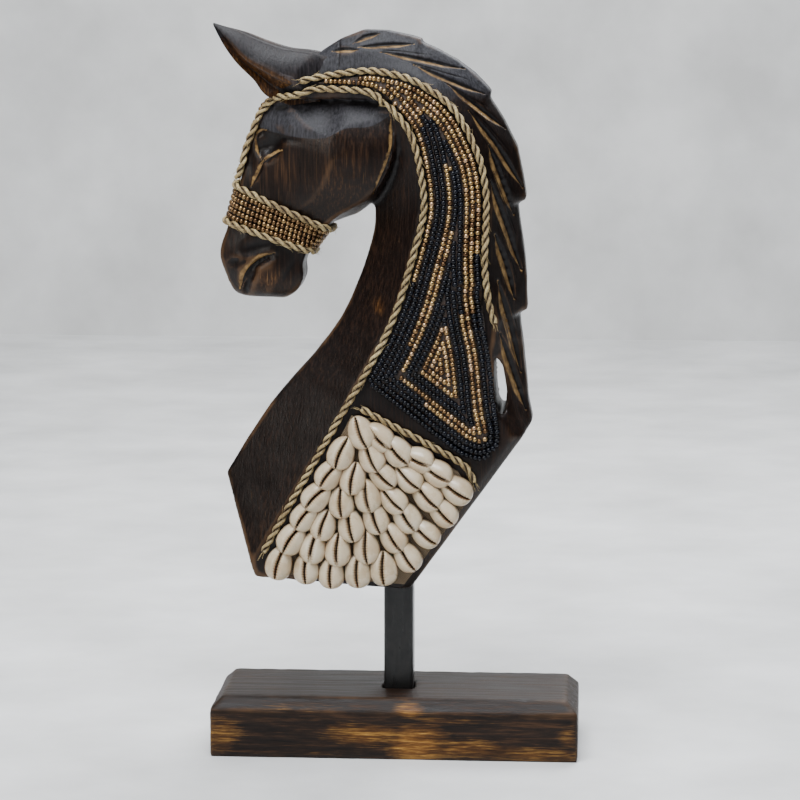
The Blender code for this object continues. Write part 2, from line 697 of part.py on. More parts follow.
def face_beads(surface, finish):
    """The strip down the middle of the face, between the two front ropes."""
    rows = []
    for i in range(FACE_STRIP_ROWS + 1):
        x, z = smooth_curve(FACE_STRIP, i * (len(FACE_STRIP) - 1) / FACE_STRIP_ROWS)
        row = []
        for share in (-1, 0, 1):
            start = at(x + FACE_STRIP_FROM[0], share * FACE_STRIP_HALF, z + FACE_STRIP_FROM[1])
            way = at(x, share * FACE_STRIP_HALF, z) - start
            row.append(surface.ray_cast(start, way.normalized())[0])
        rows.append(row)
    made = plate_mesh(rows, surface, GLUE_BED, BEAD_DIAMETER, "face_beads")
    return add_object("face_beads", made, finish)


def noseband_beads(finish):
    """The band of bead rows round the muzzle, between its two ropes."""
    clear = (ROPE_DIAMETER / 2 + TOUCH_GAP + NOSEBAND_CLEAR) * DRAWN_HEIGHT / FIGURE_HEIGHT
    outer = []
    inner = []
    steps = 2 * NOSEBAND_BEAD_ROWS
    for i in range(steps + 1):
        ends = []
        for upper, lower in zip(NOSEBAND_UPPER, NOSEBAND_LOWER):
            width = (Vector(upper) - Vector(lower)).length
            share = (clear + (width - 2 * clear) * i / steps) / width
            ends.append(tuple(Vector(upper).lerp(Vector(lower), share)))
        crown = BEAD_DIAMETER if i % 2 else BEAD_DIAMETER * BEAD_VALLEY_RATIO
        outer.append(ring_path(*ends, RING_BED + crown))
        inner.append(ring_path(*ends, RING_BED))
    work = bmesh.new()
    rows = [[work.verts.new(point) for point in ring] for ring in outer + inner[::-1]]
    count = len(rows[0])
    for one, two in zip(rows, rows[1:] + rows[:1]):
        for i in range(count):
            j = (i + 1) % count
            work.faces.new((one[i], one[j], two[j], two[i]))
    return add_object("noseband_beads", mesh_from("noseband_beads", work), finish)


# Cowrie panels

def cowrie_mesh():
    """One cowrie lying on its back along +X, with the slit along its top."""
    profile = ((0.0, 0.5, 0.5), (0.5, 1.0, 1.0), (1.0, 0.42, 0.45))
    lips = ((1.0, 0.0), (0.52, 1.0), (0.0, 0.74), (-0.52, 1.0), (-1.0, 0.0))
    rings = []
    for along, wide, high in profile:
        x = (along - 0.5) * SHELL_LENGTH
        rings.append([Vector((x, y * wide * SHELL_WIDTH / 2, z * high * SHELL_HEIGHT)) for y, z in lips])
    return loft(rings, "cowrie")


def shell_panel(name, side, finish):
    """The fibre backing with its cowries, each lying over the ones below it."""
    low = HALF * FIGURE_THICKNESS / DRAWN_THICKNESS + TOUCH_GAP
    high = low + BACKING_THICKNESS
    rings = []
    for y in (low, high):
        rings.append([Vector((at(x, 0, z).x, side * y, at(x, 0, z).z)) for x, z in BACKING])
    body = add_object(name, loft(rings, name), finish)
    shell = cowrie_mesh()
    for x, z, degrees in SHELL_PLACES:
        angle = math.radians(degrees)
        along = Vector((math.sin(angle), 0, -math.cos(angle)))
        out = Vector((0, side, 0))
        lean = along * math.cos(SHELL_TILT) + out * math.sin(SHELL_TILT)
        lift = out * math.cos(SHELL_TILT) - along * math.sin(SHELL_TILT)
        across = lift.cross(lean)
        middle = at(x, 0, z)
        middle.y = side * high
        middle += out * (SHELL_LENGTH / 2 * math.sin(SHELL_TILT) - TOUCH_GAP)
        place = Matrix((
            (lean.x, across.x, lift.x, middle.x),
            (lean.y, across.y, lift.y, middle.y),
            (lean.z, across.z, lift.z, middle.z),
            (0, 0, 0, 1),
        ))
        placed = shell.copy()
        placed.transform(place)
        boolean(body, placed, "UNION")
    body.data.materials.clear()
    body.data.materials.append(finish)
    return body


def build():
    clear_scene()
    wood = material("stained_wood", (0.045, 0.022, 0.014), 0.42)
    burnt = material("burnt_wood", (0.16, 0.075, 0.035), 0.5)
    black = material("black_paint", (0.008, 0.008, 0.008), 0.35)
    fibre = material("plaited_fibre", (0.55, 0.42, 0.24), 0.85)
    beads = material("seed_beads", (0.32, 0.2, 0.1), 0.3, 0.8)
    shells = material("cowrie_shell", (0.78, 0.7, 0.58), 0.25)
    base_block(burnt)
    post(black)
    horse = carve_horse(wood)
    surface = surface_of(horse)
    lift = ROPE_DIAMETER / 2 + TOUCH_GAP
    for side, word in ((-1, "left"), (1, "right")):
        rope("front_rope_" + word, laid_path(surface, FRONT_ROPE, side, lift), fibre)
        rope("crest_rope_" + word, laid_path(surface, CREST_ROPE, side, lift), fibre)
        rope("shell_rope_" + word, laid_path(surface, SHELL_ROPE, side, lift), fibre)
        neck_beads("neck_beads_" + word, surface, side, beads)
        shell_panel("shell_panel_" + word, side, shells)
    rope("noseband_rope_upper", ring_path(*NOSEBAND_UPPER, ROPE_DIAMETER / 2 + RING_BED), fibre, closed=True)
    rope("noseband_rope_lower", ring_path(*NOSEBAND_LOWER, ROPE_DIAMETER / 2 + RING_BED), fibre, closed=True)
    noseband_beads(beads)
    face_beads(surface, beads)


build()
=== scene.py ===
import math
import random

import bmesh
import bpy
import numpy as np
from mathutils import Matrix, Vector, noise
from mathutils.bvhtree import BVHTree
from mathutils.kdtree import KDTree


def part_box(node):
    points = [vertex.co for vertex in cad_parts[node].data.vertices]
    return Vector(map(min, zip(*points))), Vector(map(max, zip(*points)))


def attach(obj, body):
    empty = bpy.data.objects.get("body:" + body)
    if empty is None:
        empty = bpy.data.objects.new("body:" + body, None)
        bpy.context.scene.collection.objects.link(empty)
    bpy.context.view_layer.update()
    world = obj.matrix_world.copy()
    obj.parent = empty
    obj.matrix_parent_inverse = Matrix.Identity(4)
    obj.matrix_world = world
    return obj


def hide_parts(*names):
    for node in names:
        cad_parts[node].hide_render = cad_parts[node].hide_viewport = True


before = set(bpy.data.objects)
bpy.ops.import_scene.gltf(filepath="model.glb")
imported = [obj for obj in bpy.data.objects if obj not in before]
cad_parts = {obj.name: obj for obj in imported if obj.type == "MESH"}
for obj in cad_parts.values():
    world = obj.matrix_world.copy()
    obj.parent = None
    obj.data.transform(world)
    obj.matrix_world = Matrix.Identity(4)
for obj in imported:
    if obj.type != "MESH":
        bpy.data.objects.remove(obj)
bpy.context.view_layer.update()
random.seed(4)

# Lines are drawn in millimetres on the carving's own sheet: zero is where the post enters its underside
horseLow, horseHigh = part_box("carved_horse")
postLow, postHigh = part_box("post")
sheet = {"height": 304.3, "halfThickness": 27.0}
unit = (horseHigh.z - horseLow.z) / sheet["height"]
postX = (postLow.x + postHigh.x) / 2
sides = {"left": -1, "right": 1}


def at(x, y, z):
    return Vector((postX + x * unit, y * unit, horseLow.z + z * unit))


# A smooth point at a fractional index of a list of drawn points
def between(points, where):
    last = len(points) - 1
    index = min(max(int(where), 0), last - 1)
    local = where - index
    before, start = points[max(index - 1, 0)], points[index]
    end, after = points[index + 1], points[min(index + 2, last)]
    made = []
    for a, b, c, d in zip(before, start, end, after):
        cubic = (2 * a - 5 * b + 4 * c - d) * local ** 2 + (3 * b - a - 3 * c + d) * local ** 3
        made.append(0.5 * (2 * b + (c - a) * local + cubic))
    return tuple(made)


# Points at equal steps along a polyline
def evenly(fine, step):
    lengths = [0.0]
    for one, two in zip(fine, fine[1:]):
        lengths.append(lengths[-1] + math.dist(one, two))
    count = max(2, round(lengths[-1] / step))
    made = []
    index = 0
    for i in range(count + 1):
        wanted = lengths[-1] * i / count
        while index < len(fine) - 2 and lengths[index + 1] < wanted:
            index += 1
        share = min((wanted - lengths[index]) / max(lengths[index + 1] - lengths[index], 1e-9), 1.0)
        made.append(tuple(a + (b - a) * share for a, b in zip(fine[index], fine[index + 1])))
    return made


def smoothLine(points, step):
    fine = [between(points, i / 12) for i in range(12 * (len(points) - 1) + 1)]
    return evenly(fine, step)


# A drawn line moved sideways, to the right of its direction where the distance is positive
def shifted(points, distance):
    made = []
    for i, (x, z) in enumerate(points):
        before, after = points[max(i - 1, 0)], points[min(i + 1, len(points) - 1)]
        along = Vector((after[0] - before[0], after[1] - before[1])).normalized()
        made.append((x + along.y * distance, z - along.x * distance))
    return made


# Distance of many points of the sheet from one polyline
def distanceTo(points, line):
    best = np.full(len(points), 1e9)
    for (ax, az), (bx, bz) in zip(line, line[1:]):
        run = np.array((bx - ax, bz - az))
        offset = points - np.array((ax, az))
        share = np.clip(offset @ run / max(run @ run, 1e-9), 0, 1)
        best = np.minimum(best, np.linalg.norm(offset - share[:, None] * run, axis=1))
    return best


# Signed distance of many points of the sheet from one line, below zero on the right of its run,
# in widths of the line, which narrows towards both ends
def sideOf(points, line, width):
    best = np.full(len(points), 1e9)
    signed = best.copy()
    last = len(line) - 1
    for i, ((ax, az), (bx, bz)) in enumerate(zip(line, line[1:])):
        run = np.array((bx - ax, bz - az))
        offset = points - np.array((ax, az))
        share = np.clip(offset @ run / max(run @ run, 1e-9), 0, 1)
        gap = np.linalg.norm(offset - share[:, None] * run, axis=1)
        left = np.where(run[0] * offset[:, 1] - run[1] * offset[:, 0] > 0, 1.0, -1.0)
        taper = np.clip(5 * ((i + share) / last) * (1 - (i + share) / last), 0.25, 1)
        closer = gap < best
        best = np.where(closer, gap, best)
        signed = np.where(closer, gap * left / (taper * width), signed)
    return signed


# A socket that adds and multiplies as a number does
class Wire:
    def __init__(self, finish, socket):
        self.finish = finish
        self.socket = socket

    def maths(self, operation, *values):
        inputs = {i: value for i, value in enumerate(values)}
        return self.finish.node("Math", {"operation": operation}, inputs)

    def __add__(self, other):
        return self.maths("ADD", self, other)

    def __radd__(self, other):
        return self.maths("ADD", other, self)

    def __mul__(self, other):
        return self.maths("MULTIPLY", self, other)

    def __rmul__(self, other):
        return self.maths("MULTIPLY", other, self)

    def held(self):
        return self.finish.node("Clamp", {}, {"Value": self})


# One material: its shader, and one way to add any other node
class Finish:
    def __init__(self, name):
        self.material = bpy.data.materials.new(name)
        self.material.use_nodes = True
        self.tree = self.material.node_tree
        self.shader = self.tree.nodes["Principled BSDF"]
        coordinates = self.tree.nodes.new("ShaderNodeTexCoord")
        self.place = Wire(self, coordinates.outputs["Object"])

    def feed(self, socket, value):
        if isinstance(value, Wire):
            self.tree.links.new(value.socket, socket)
        elif isinstance(value, tuple) and len(value) == 3 and len(socket.default_value) == 4:
            socket.default_value = (*value, 1.0)
        else:
            socket.default_value = value

    def node(self, kind, settings, inputs, output=0):
        made = self.tree.nodes.new("ShaderNode" + kind)
        for key, value in settings.items():
            if key == "stops":
                ramp = made.color_ramp
                while len(ramp.elements) < len(value):
                    ramp.elements.new(1.0)
                for element, (position, colour) in zip(ramp.elements, value):
                    element.position = position
                    element.color = (*colour, 1.0)
            else:
                setattr(made, key, value)
        for key, value in inputs.items():
            self.feed(made.inputs[key], value)
        return Wire(self, made.outputs[output])

    def stretched(self, scale, turn=(0.0, 0.0, 0.0)):
        return self.node("Mapping", {}, {"Vector": self.place, "Scale": scale, "Rotation": turn})

    def cloud(self, scale, detail=4.0, roughness=0.55, place=None):
        inputs = {"Vector": place or self.place, "Scale": scale, "Detail": detail, "Roughness": roughness}
        return self.node("TexNoise", {}, inputs)

    def attribute(self, name):
        return self.node("Attribute", {"attribute_name": name}, {}, "Fac")

    def ramp(self, value, *stops):
        return self.node("ValToRGB", {"stops": stops}, {"Fac": value})

    def grade(self, value, low, high, start=0.0, end=1.0):
        inputs = {"Value": value, "From Min": low, "From Max": high, "To Min": start, "To Max": end}
        return self.node("MapRange", {"clamp": True}, inputs)

    def mix(self, share, one, two, blend="MIX"):
        inputs = {0: share, 6: one, 7: two}
        return self.node("Mix", {"data_type": "RGBA", "blend_type": blend}, inputs, 2)

    def bump(self, height, strength, distance, under=None):
        inputs = {"Height": height, "Strength": strength, "Distance": distance}
        if under:
            inputs["Normal"] = under
        return self.node("Bump", {}, inputs)

    def finished(self, **inputs):
        for key, value in inputs.items():
            self.feed(self.shader.inputs[key.replace("_", " ")], value)
        return self.material


# Camera, light and floor
studio = {
    "camera": (0.108, -1.5963, 0.4387), "target": (0.00133, 0.0, 0.19192), "lens": 133.6, "sensor": 36.0,
    "overhead": (0.75, 0.80, 0.88), "level": (0.008, 0.008, 0.009),
    "floorTones": ((0.62, 0.62, 0.61), (0.83, 0.83, 0.82)), "floorHalf": 4.0, "wall": 1.7,
    "lamps": (  # name, place, target, size, power and colour
        ("overheadLamp", (-0.10, -0.55, 1.30), (0.0, 0.0, 0.2), 0.55, 22.0, (0.93, 0.96, 1.0)),
        ("rearLamp", (0.35, 0.75, 1.10), (0.0, 0.0, 0.25), 0.7, 12.0, (0.93, 0.96, 1.0)),
        ("frontLamp", (-0.90, -1.10, 0.75), (0.0, 0.0, 0.18), 0.30, 7.0, (1.0, 0.96, 0.90)),
        ("wallLamp", (0.0, 0.60, 1.60), (0.0, 1.7, 0.3), 1.0, 18.0, (1.0, 1.0, 1.0)),
    ),
}


def aimed(thing, target):
    way = Vector(target) - thing.location
    thing.rotation_euler = way.to_track_quat("-Z", "Y").to_euler()


def setStudio():
    camera = bpy.data.objects.new("camera", bpy.data.cameras.new("camera"))
    camera.data.lens = studio["lens"]
    camera.data.sensor_width = studio["sensor"]
    camera.location = studio["camera"]
    aimed(camera, studio["target"])
    bpy.context.scene.collection.objects.link(camera)
    bpy.context.scene.camera = camera
    bpy.context.scene.world = softRoom()
    for name, place, target, size, power, colour in studio["lamps"]:
        lamp = bpy.data.objects.new(name, bpy.data.lights.new(name, "AREA"))
        lamp.data.energy = power
        lamp.data.size = size
        lamp.data.color = colour
        lamp.location = place
        aimed(lamp, target)
        bpy.context.scene.collection.objects.link(lamp)
    paper = Finish("floorPaper")
    dim, pale = studio["floorTones"]
    tone = paper.ramp(paper.cloud(9.0), (0.3, dim), (0.7, pale))
    sheetOfPaper = paper.finished(Base_Color=tone, Roughness=0.8)
    work = bmesh.new()
    bmesh.ops.create_grid(work, x_segments=2, y_segments=2, size=studio["floorHalf"])
    floor = keep("studioFloor", work)
    work = bmesh.new()
    upright = Matrix.Translation((0, studio["wall"], 0)) @ Matrix.Rotation(math.pi / 2, 4, "X")
    bmesh.ops.create_grid(work, x_segments=2, y_segments=2, size=studio["floorHalf"], matrix=upright)
    wall = keep("studioWall", work)
    for piece in (floor, wall):
        piece.data.materials.append(sheetOfPaper)


# A dim room with a bright ceiling, so that faces turned upwards catch the light
def softRoom():
    room = bpy.data.worlds.new("room")
    room.use_nodes = True
    nodes, links = room.node_tree.nodes, room.node_tree.links
    direction = nodes.new("ShaderNodeTexCoord")
    split = nodes.new("ShaderNodeSeparateXYZ")
    ceiling = nodes.new("ShaderNodeValToRGB")
    ceiling.color_ramp.elements[0].position = 0.25
    ceiling.color_ramp.elements[0].color = (*studio["level"], 1.0)
    ceiling.color_ramp.elements[1].position = 0.85
    ceiling.color_ramp.elements[1].color = (*studio["overhead"], 1.0)
    links.new(direction.outputs["Generated"], split.inputs["Vector"])
    links.new(split.outputs["Z"], ceiling.inputs["Fac"])
    links.new(ceiling.outputs["Color"], nodes["Background"].inputs["Color"])
    return room


# A finished bmesh as an object at the origin
def keep(name, work, smooth=False):
    made = bpy.data.meshes.new(name)
    work.to_mesh(made)
    work.free()
    if smooth:
        made.shade_smooth()
    thing = bpy.data.objects.new(name, made)
    bpy.context.scene.collection.objects.link(thing)
    return thing


def fitted(piece, material, slot, *nodes):
    piece.data.materials.clear()
    piece.data.materials.append(material)
    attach(piece, "root")
    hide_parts(*nodes)


def attribute(piece, name, values):
    layer = piece.data.attributes.new(name, "FLOAT", "POINT")
    layer.data.foreach_set("value", np.asarray(values, np.float32))


def coordinates(mesh):
    flat = np.empty(3 * len(mesh.vertices))
    mesh.vertices.foreach_get("co", flat)
    return flat.reshape(-1, 3)


def normals(mesh):
    flat = np.empty(3 * len(mesh.vertices))
    mesh.vertex_normals.foreach_get("vector", flat)
    return flat.reshape(-1, 3)


# A closed mesh rebuilt on a fine even skin
def fineSkin(work, name, voxel, rounds):
    rough = keep(name + "Rough", work)
    skin = rough.modifiers.new("skin", "REMESH")
    skin.mode = "VOXEL"
    skin.voxel_size = voxel
    ease = rough.modifiers.new("ease", "SMOOTH")
    ease.factor = 0.5
    ease.iterations = rounds
    depsgraph = bpy.context.evaluated_depsgraph_get()
    made = bmesh.new()
    made.from_object(rough, depsgraph)
    bpy.data.objects.remove(rough)
    return made


# The carving
carving = {
    "voxel": 0.0014, "eased": 2, "fineWithin": 2.0, "onSide": 0.3,
    "hollows": 0.22, "hollowSize": 13.0, "knifeMarks": 0.05, "markRuns": (700, 700, 90),
    "steepWall": 0.45, "litWall": (-0.58, 0.55), "shutWall": (0.12, 0.4),
    "bareFade": 1.6, "bareOnSide": 0.2, "pitFade": 1.5,
    "crestFrom": (-70, 262), "crestFade": 10, "crestSheen": 0.6,
}

# width, depth and paleness of a cut in the mane (golden bare wood painted only on its lit wall, so partly
# painted light), what the broad lower ones have more, and a hair line's
locks = {
    "cut": (2.0, 0.9, 0.8), "more": (1.4, 0.5, 0.3), "broadFrom": 4, "broadOver": 3,
    "hair": (0.9, 0.4, 0.15),
}

# start, middle and end of each cut between the locks of the mane
maneCuts = (
    ((-35, 289.4), (-29, 290.6), (-21, 290.3)),
    ((-24, 293.6), (-18, 297), (-10, 298.8)),
    ((-21, 291.7), (-6, 293), (8.5, 293.4)),
    ((-9, 289.3), (10, 286), (35.5, 280.2)),
    ((9, 282.7), (28, 274.6), (46.5, 267)),
    ((27.4, 272.5), (44, 260), (57.5, 248.6)),
    ((38.7, 258.9), (53, 240.8), (67.2, 217)),
    ((49.2, 240.5), (56.1, 222.8), (62.6, 203)),
    ((50.5, 221.5), (59.4, 196), (66.6, 173)),
    ((53, 193), (59.2, 175), (63.2, 158)),
    ((54.6, 168), (61, 144.5), (66.8, 118)),
    ((55.8, 140), (62.8, 119.2), (69.6, 97.5)),
)

# line, width and depth in millimetres, and how pale its lit wall is, which is on the right of its run; the
# paleness is golden bare wood painted only on the wall turned to the light, so partly painted light
headCuts = (
    (((-69.4, 247.6), (-75.4, 245.2), (-75.0, 237.5), (-72.2, 230.2)), 1.6, 0.6, 0.8),
    (((-61.8, 236.6), (-66.6, 233.4), (-73.2, 229.4)), 2.1, 0.8, 1.0),
    (((-71.6, 231.8), (-74.0, 225.4), (-78.8, 217.0)), 1.9, 0.8, 1.0),
    (((-3.2, 257), (-2.4, 238), (-12.5, 213.4)), 1.7, 0.7, 0.9),
    (((-66.5, 181.0), (-75.0, 176.4), (-82.2, 169.0), (-85.4, 161.5)), 3.4, 1.4, 1.1),
    (((-31.5, 299), (-31, 288), (-31.2, 280)), 0.8, 0.6, 0.0),
)
# crease between the facet that slants up to the poll and the upright cheek
browLine = (
    (-80, 248.5), (-76, 249), (-68, 246.3), (-53, 243.6),
    (-38, 243.6), (-27, 248.6), (-13, 250), (-1, 257.5),
)
cheek = {
    "half": 25.2, "slant": 0.72, "flare": 0.11,
    "fromX": -81.0, "toX": 0.5, "low": 225.0, "high": 264.0,
}

# bare and lighter places: middle, reach and amount
barePlaces = (
    ((-81, 283), (13, 7), 1.0),
    ((-66, 277), (9, 6), 0.7),
    ((-70, 167), (10, 7), 0.75),
    ((-30, 222), (26, 30), 0.2),
    ((-60, 226), (16, 14), 0.25),
    ((-56, 30), (20, 14), 0.25),
    ((30, 34), (30, 36), 0.35),
    ((-9.6, 153.4), (3, 5), 1.0),
)

# hollows pressed into the wood: middle, reach, turn in degrees, depth in millimetres, and how much painted
# shade they get
pits = (
    ((-68.6, 239.0), (6.2, 4.6), 24, 3.6, 1.1),
    ((-66.0, 244.0), (12.0, 2.0), -10, 0.9, 0.8),
    ((-80.0, 232.0), (2.6, 9.0), 8, 0.7, 0.6),
    ((-76.5, 184.0), (9.0, 4.0), 12, 1.4, 0.35),
    ((-88.5, 176.5), (2.6, 1.5), 20, 1.1, 1.0),
    ((-60.0, 170.0), (9.0, 2.0), 60, 0.5, 0.4),
)


# The cuts between two neighbouring locks, with fine hair lines part way between them
def hairLines():
    lines = []
    for i, cut in enumerate(maneCuts):
        broad = min(max((i - locks["broadFrom"]) / locks["broadOver"], 0), 1)
        sizes = [first + more * broad for first, more in zip(locks["cut"], locks["more"])]
        lines.append((smoothLine(cut, 2.0), *sizes))
    for one, two in zip(maneCuts[2:], maneCuts[3:]):
        middle = [((a[0] + b[0]) / 2, (a[1] + b[1]) / 2) for a, b in zip(one, two)]
        lines.append((smoothLine(middle, 2.0)[1:-2], *locks["hair"]))
    return lines


def sheetPlaces(spots):
    flat = np.empty((len(spots), 2))
    flat[:, 0] = (spots[:, 0] - postX) / unit
    flat[:, 1] = (spots[:, 2] - horseLow.z) / unit
    return flat


# The slanting facet above the brow line and the flat cheek below it, as planes that the wood stops at
def cheekLimit(flat):
    brow = np.array(smoothLine(browLine, 2.0))
    above = flat[:, 1] - np.interp(flat[:, 0], brow[:, 0], brow[:, 1])
    limit = cheek["half"] - np.where(above > 0, cheek["slant"], cheek["flare"]) * above
    inside = (flat[:, 0] > cheek["fromX"]) & (flat[:, 0] < cheek["toX"])
    inside &= (flat[:, 1] > cheek["low"]) & (flat[:, 1] < cheek["high"])
    return np.where(inside, limit, 1e3), above * inside


# One in the middle and nothing at the reach and beyond
def hump(values, middle, reach):
    return np.clip(1 - np.abs(values - middle) / reach, 0, 1)


def cutEarsOff(work):
    everything = list(work.verts) + list(work.edges) + list(work.faces)
    (x, z), (wayX, wayZ) = ears["cutAt"], ears["cutWay"]
    stub = bmesh.ops.bisect_plane(
        work, geom=everything, dist=1e-7, plane_co=at(x, 0, z), plane_no=(wayX, 0, wayZ), clear_outer=True,
    )
    edges = [part for part in stub["geom_cut"] if isinstance(part, bmesh.types.BMEdge)]
    bmesh.ops.holes_fill(work, edges=edges, sides=0)
    bmesh.ops.triangulate(work, faces=[f for f in work.faces if len(f.verts) > 4])


# Smaller faces beside the knife cuts and the brow
def refine(work, cuts):
    flat = sheetPlaces(np.array([v.co for v in work.verts]))
    nearest = distanceTo(flat, smoothLine(browLine, 2.0))
    for line, *_ in cuts:
        nearest = np.minimum(nearest, distanceTo(flat, line))
    near = nearest < carving["fineWithin"]
    edges = [e for e in work.edges if near[e.verts[0].index] and near[e.verts[1].index]]
    bmesh.ops.subdivide_edges(work, edges=edges, cuts=1, use_grid_fill=True)
    bmesh.ops.triangulate(work, faces=[f for f in work.faces if len(f.verts) > 4])


# Depth of the knife cuts, and where their lit walls (golden bare wood, painted only on the side turned to
# the light) and their shaded walls (painted shade) lie
def cutWalls(flat, onSide, cuts):
    depth, lit, shadeOnWall = np.zeros((3, len(flat)))
    for line, width, deep, light in cuts:
        side = sideOf(flat, line, width)
        wall = np.where(side < 0, 1 + side, 1 - side / carving["steepWall"])
        depth = np.maximum(depth, deep * np.clip(wall, 0, 1) * onSide)
        lit = np.maximum(lit, light * hump(side, *carving["litWall"]) * onSide)
        shadeOnWall = np.maximum(shadeOnWall, hump(side, *carving["shutWall"]) * onSide)
    return depth, lit, shadeOnWall


def bareShares(flat, onSide):
    bare = np.zeros(len(flat))
    for (x, z), (wide, high), amount in barePlaces:
        reach = ((flat[:, 0] - x) / wide) ** 2 + ((flat[:, 1] - z) / high) ** 2
        bare = np.maximum(bare, amount * np.exp(-carving["bareFade"] * reach) * onSide)
    return bare


# Depth of the pressed hollows, and how much painted shade they get
def pitDepths(flat, onSide):
    depth, dark = np.zeros((2, len(flat)))
    for (x, z), (wide, high), turn, deep, shade in pits:
        c, s = math.cos(math.radians(turn)), math.sin(math.radians(turn))
        run, rise = flat[:, 0] - x, flat[:, 1] - z
        reach = ((run * c + rise * s) / wide) ** 2 + ((rise * c - run * s) / high) ** 2
        amount = np.exp(-reach ** carving["pitFade"]) * onSide
        depth = depth + deep * amount
        dark = np.maximum(dark, shade * amount)
    return depth, dark


def carveHorse():
    cuts = hairLines() + [(smoothLine(line, 1.5), *rest) for line, *rest in headCuts]
    work = bmesh.new()
    work.from_mesh(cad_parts["carved_horse"].data)
    bmesh.ops.remove_doubles(work, verts=work.verts, dist=1e-6)
    cutEarsOff(work)
    work = fineSkin(work, "carvedHorse", carving["voxel"], carving["eased"])
    refine(work, cuts)
    piece = keep("carvedHorse", work, smooth=True)
    spots = coordinates(piece.data)
    facing = normals(piece.data)
    flat = sheetPlaces(spots)
    sideways = np.abs(facing[:, 1])
    onSide = sideways > carving["onSide"]
    limit, aboveBrow = cheekLimit(flat)
    spots[:, 1] = np.clip(spots[:, 1], -limit * unit, limit * unit)
    depth, lit, shadeOnWall = cutWalls(flat, onSide, cuts)
    pitDepth, dark = pitDepths(flat, onSide)
    hollow = np.array([noise.noise(Vector(s) / (carving["hollowSize"] * unit)) for s in spots])
    marks = np.array([noise.noise(Vector(s * carving["markRuns"])) for s in spots])
    push = hollow * carving["hollows"] + marks * carving["knifeMarks"] - depth - pitDepth
    spots = spots + facing * (push * unit)[:, None]
    piece.data.vertices.foreach_set("co", spots.ravel())
    # painted sheen: the facet above the brow and the crest of the poll are marked for a grey that stands
    # in for the sheen of overhead light on upward faces
    crest = np.clip((flat - carving["crestFrom"]) / carving["crestFade"], 0, 1).prod(axis=1)
    crown = np.where(aboveBrow == 0, crest * carving["crestSheen"], aboveBrow)
    # painted shade in the eye socket, under the brow, beside the eye and in the nostril and mouth
    attribute(piece, "darkPit", dark)
    attribute(piece, "crown", np.clip(crown, -1, 1))
    attribute(piece, "litWall", lit)
    attribute(piece, "shutWall", shadeOnWall)
    attribute(piece, "bareWood", bareShares(flat, sideways > carving["bareOnSide"]))
    # raised edges are lightened later as real wear, and grooves are darkened as painted shade
    attribute(piece, "wornEdge", sharpness(piece))
    piece.data.update()
    return piece


# Ears. upper to inner: how far each corner of a ring stands out from the ear's middle, times its spread
ears = {
    "cutAt": (-62.0, 284.0), "cutWay": (-0.93, 0.37), "rows": 60, "around": 8, "middle": 14.5,
    "upper": 0.0, "fold": 7.5, "hollow": 0.2, "lower": 2.0, "inner": -7.5,
    "farShift": (3.5, -3.0), "farFade": 2, "grow": 0.3, "eased": 0.4,
    "sunkFrom": 4.0, "sink": 1.2, "inwards": 3.5, "bareFrom": 0.7, "bareSunk": 0.8,
    "dish": 0.8, "bulge": 1.1, "outerBulge": (0.5, 0.7), "innerBulge": (0.4, -0.8),
    "bareShare": 0.9, "earSheen": 0.3, "edgeAndGrooveShare": 0.6,
}
# rows from the tip into the poll: upper edge, fold, lower edge and spread
earRows = (
    ((-98.2, 304.3), (-98.4, 303.6), (-98.4, 303.2), 0.05),
    ((-86, 300.4), (-89, 294.5), (-93.0, 293.2), 0.42),
    ((-74, 295.5), (-80.5, 285.5), (-85.8, 283.3), 0.72),
    ((-60, 290.9), (-70.5, 279.5), (-76.6, 274.2), 0.92),
    ((-44, 288.6), (-57, 273), (-69.5, 265.5), 0.9),
    ((-18, 281), (-34, 266), (-52, 257), 0.4),
)


# One ring of an ear, from the upper edge over the fold and the hollow to the lower edge and back over
# the inner side, as places with how bare the wood is there
def earRing(where, side):
    upper, fold, lower = [Vector(between([row[k] for row in earRows], where)) for k in range(3)]
    spread = between([(row[3],) for row in earRows], where)[0]
    hollow, centre = (fold + lower) / 2, (upper + lower) / 2
    fade = (1 - where / (len(earRows) - 1)) ** ears["farFade"] if side > 0 else 0
    move = Vector(ears["farShift"]) * fade
    places = {"upper": upper, "fold": fold, "hollow": hollow, "lower": lower, "inner": centre}
    corners = [(place, ears["middle"] + ears[name] * spread) for name, place in places.items()]
    sunk = max(0.0, where - ears["sunkFrom"])
    grow = ears["grow"] * min(1.0, spread * 2) - ears["sink"] * sunk
    bare = min(max(where - ears["bareFrom"], 0.0), 1.0) * (1 - ears["bareSunk"] * sunk)
    ring = []
    for k, ((one, ya), (two, yb)) in enumerate(zip(corners, corners[1:] + corners[:1])):
        inHollow = k in (1, 2)
        inward, outward = ears["innerBulge"] if k else ears["outerBulge"]
        for j in range(ears["around"]):
            share = j / ears["around"]
            flat = one.lerp(two, share)
            y = ya + (yb - ya) * share
            if inHollow:
                y -= math.sin((share + k - 1) * math.pi / 2) * ears["dish"] * spread
            else:
                bulge = math.sin(share * math.pi) * ears["bulge"] * spread
                flat = flat + (flat - (fold if k else hollow)).normalized() * bulge * inward
                y += bulge * outward
            y -= ears["inwards"] * sunk
            out = Vector((flat.x - centre.x, y - ears["middle"], flat.y - centre.y))
            out = out.normalized() * grow if out.length > 1e-6 else out
            flat = flat + move
            ring.append((at(flat.x + out.x, side * (y + out.y), flat.y + out.z), bare * inHollow))
    return ring


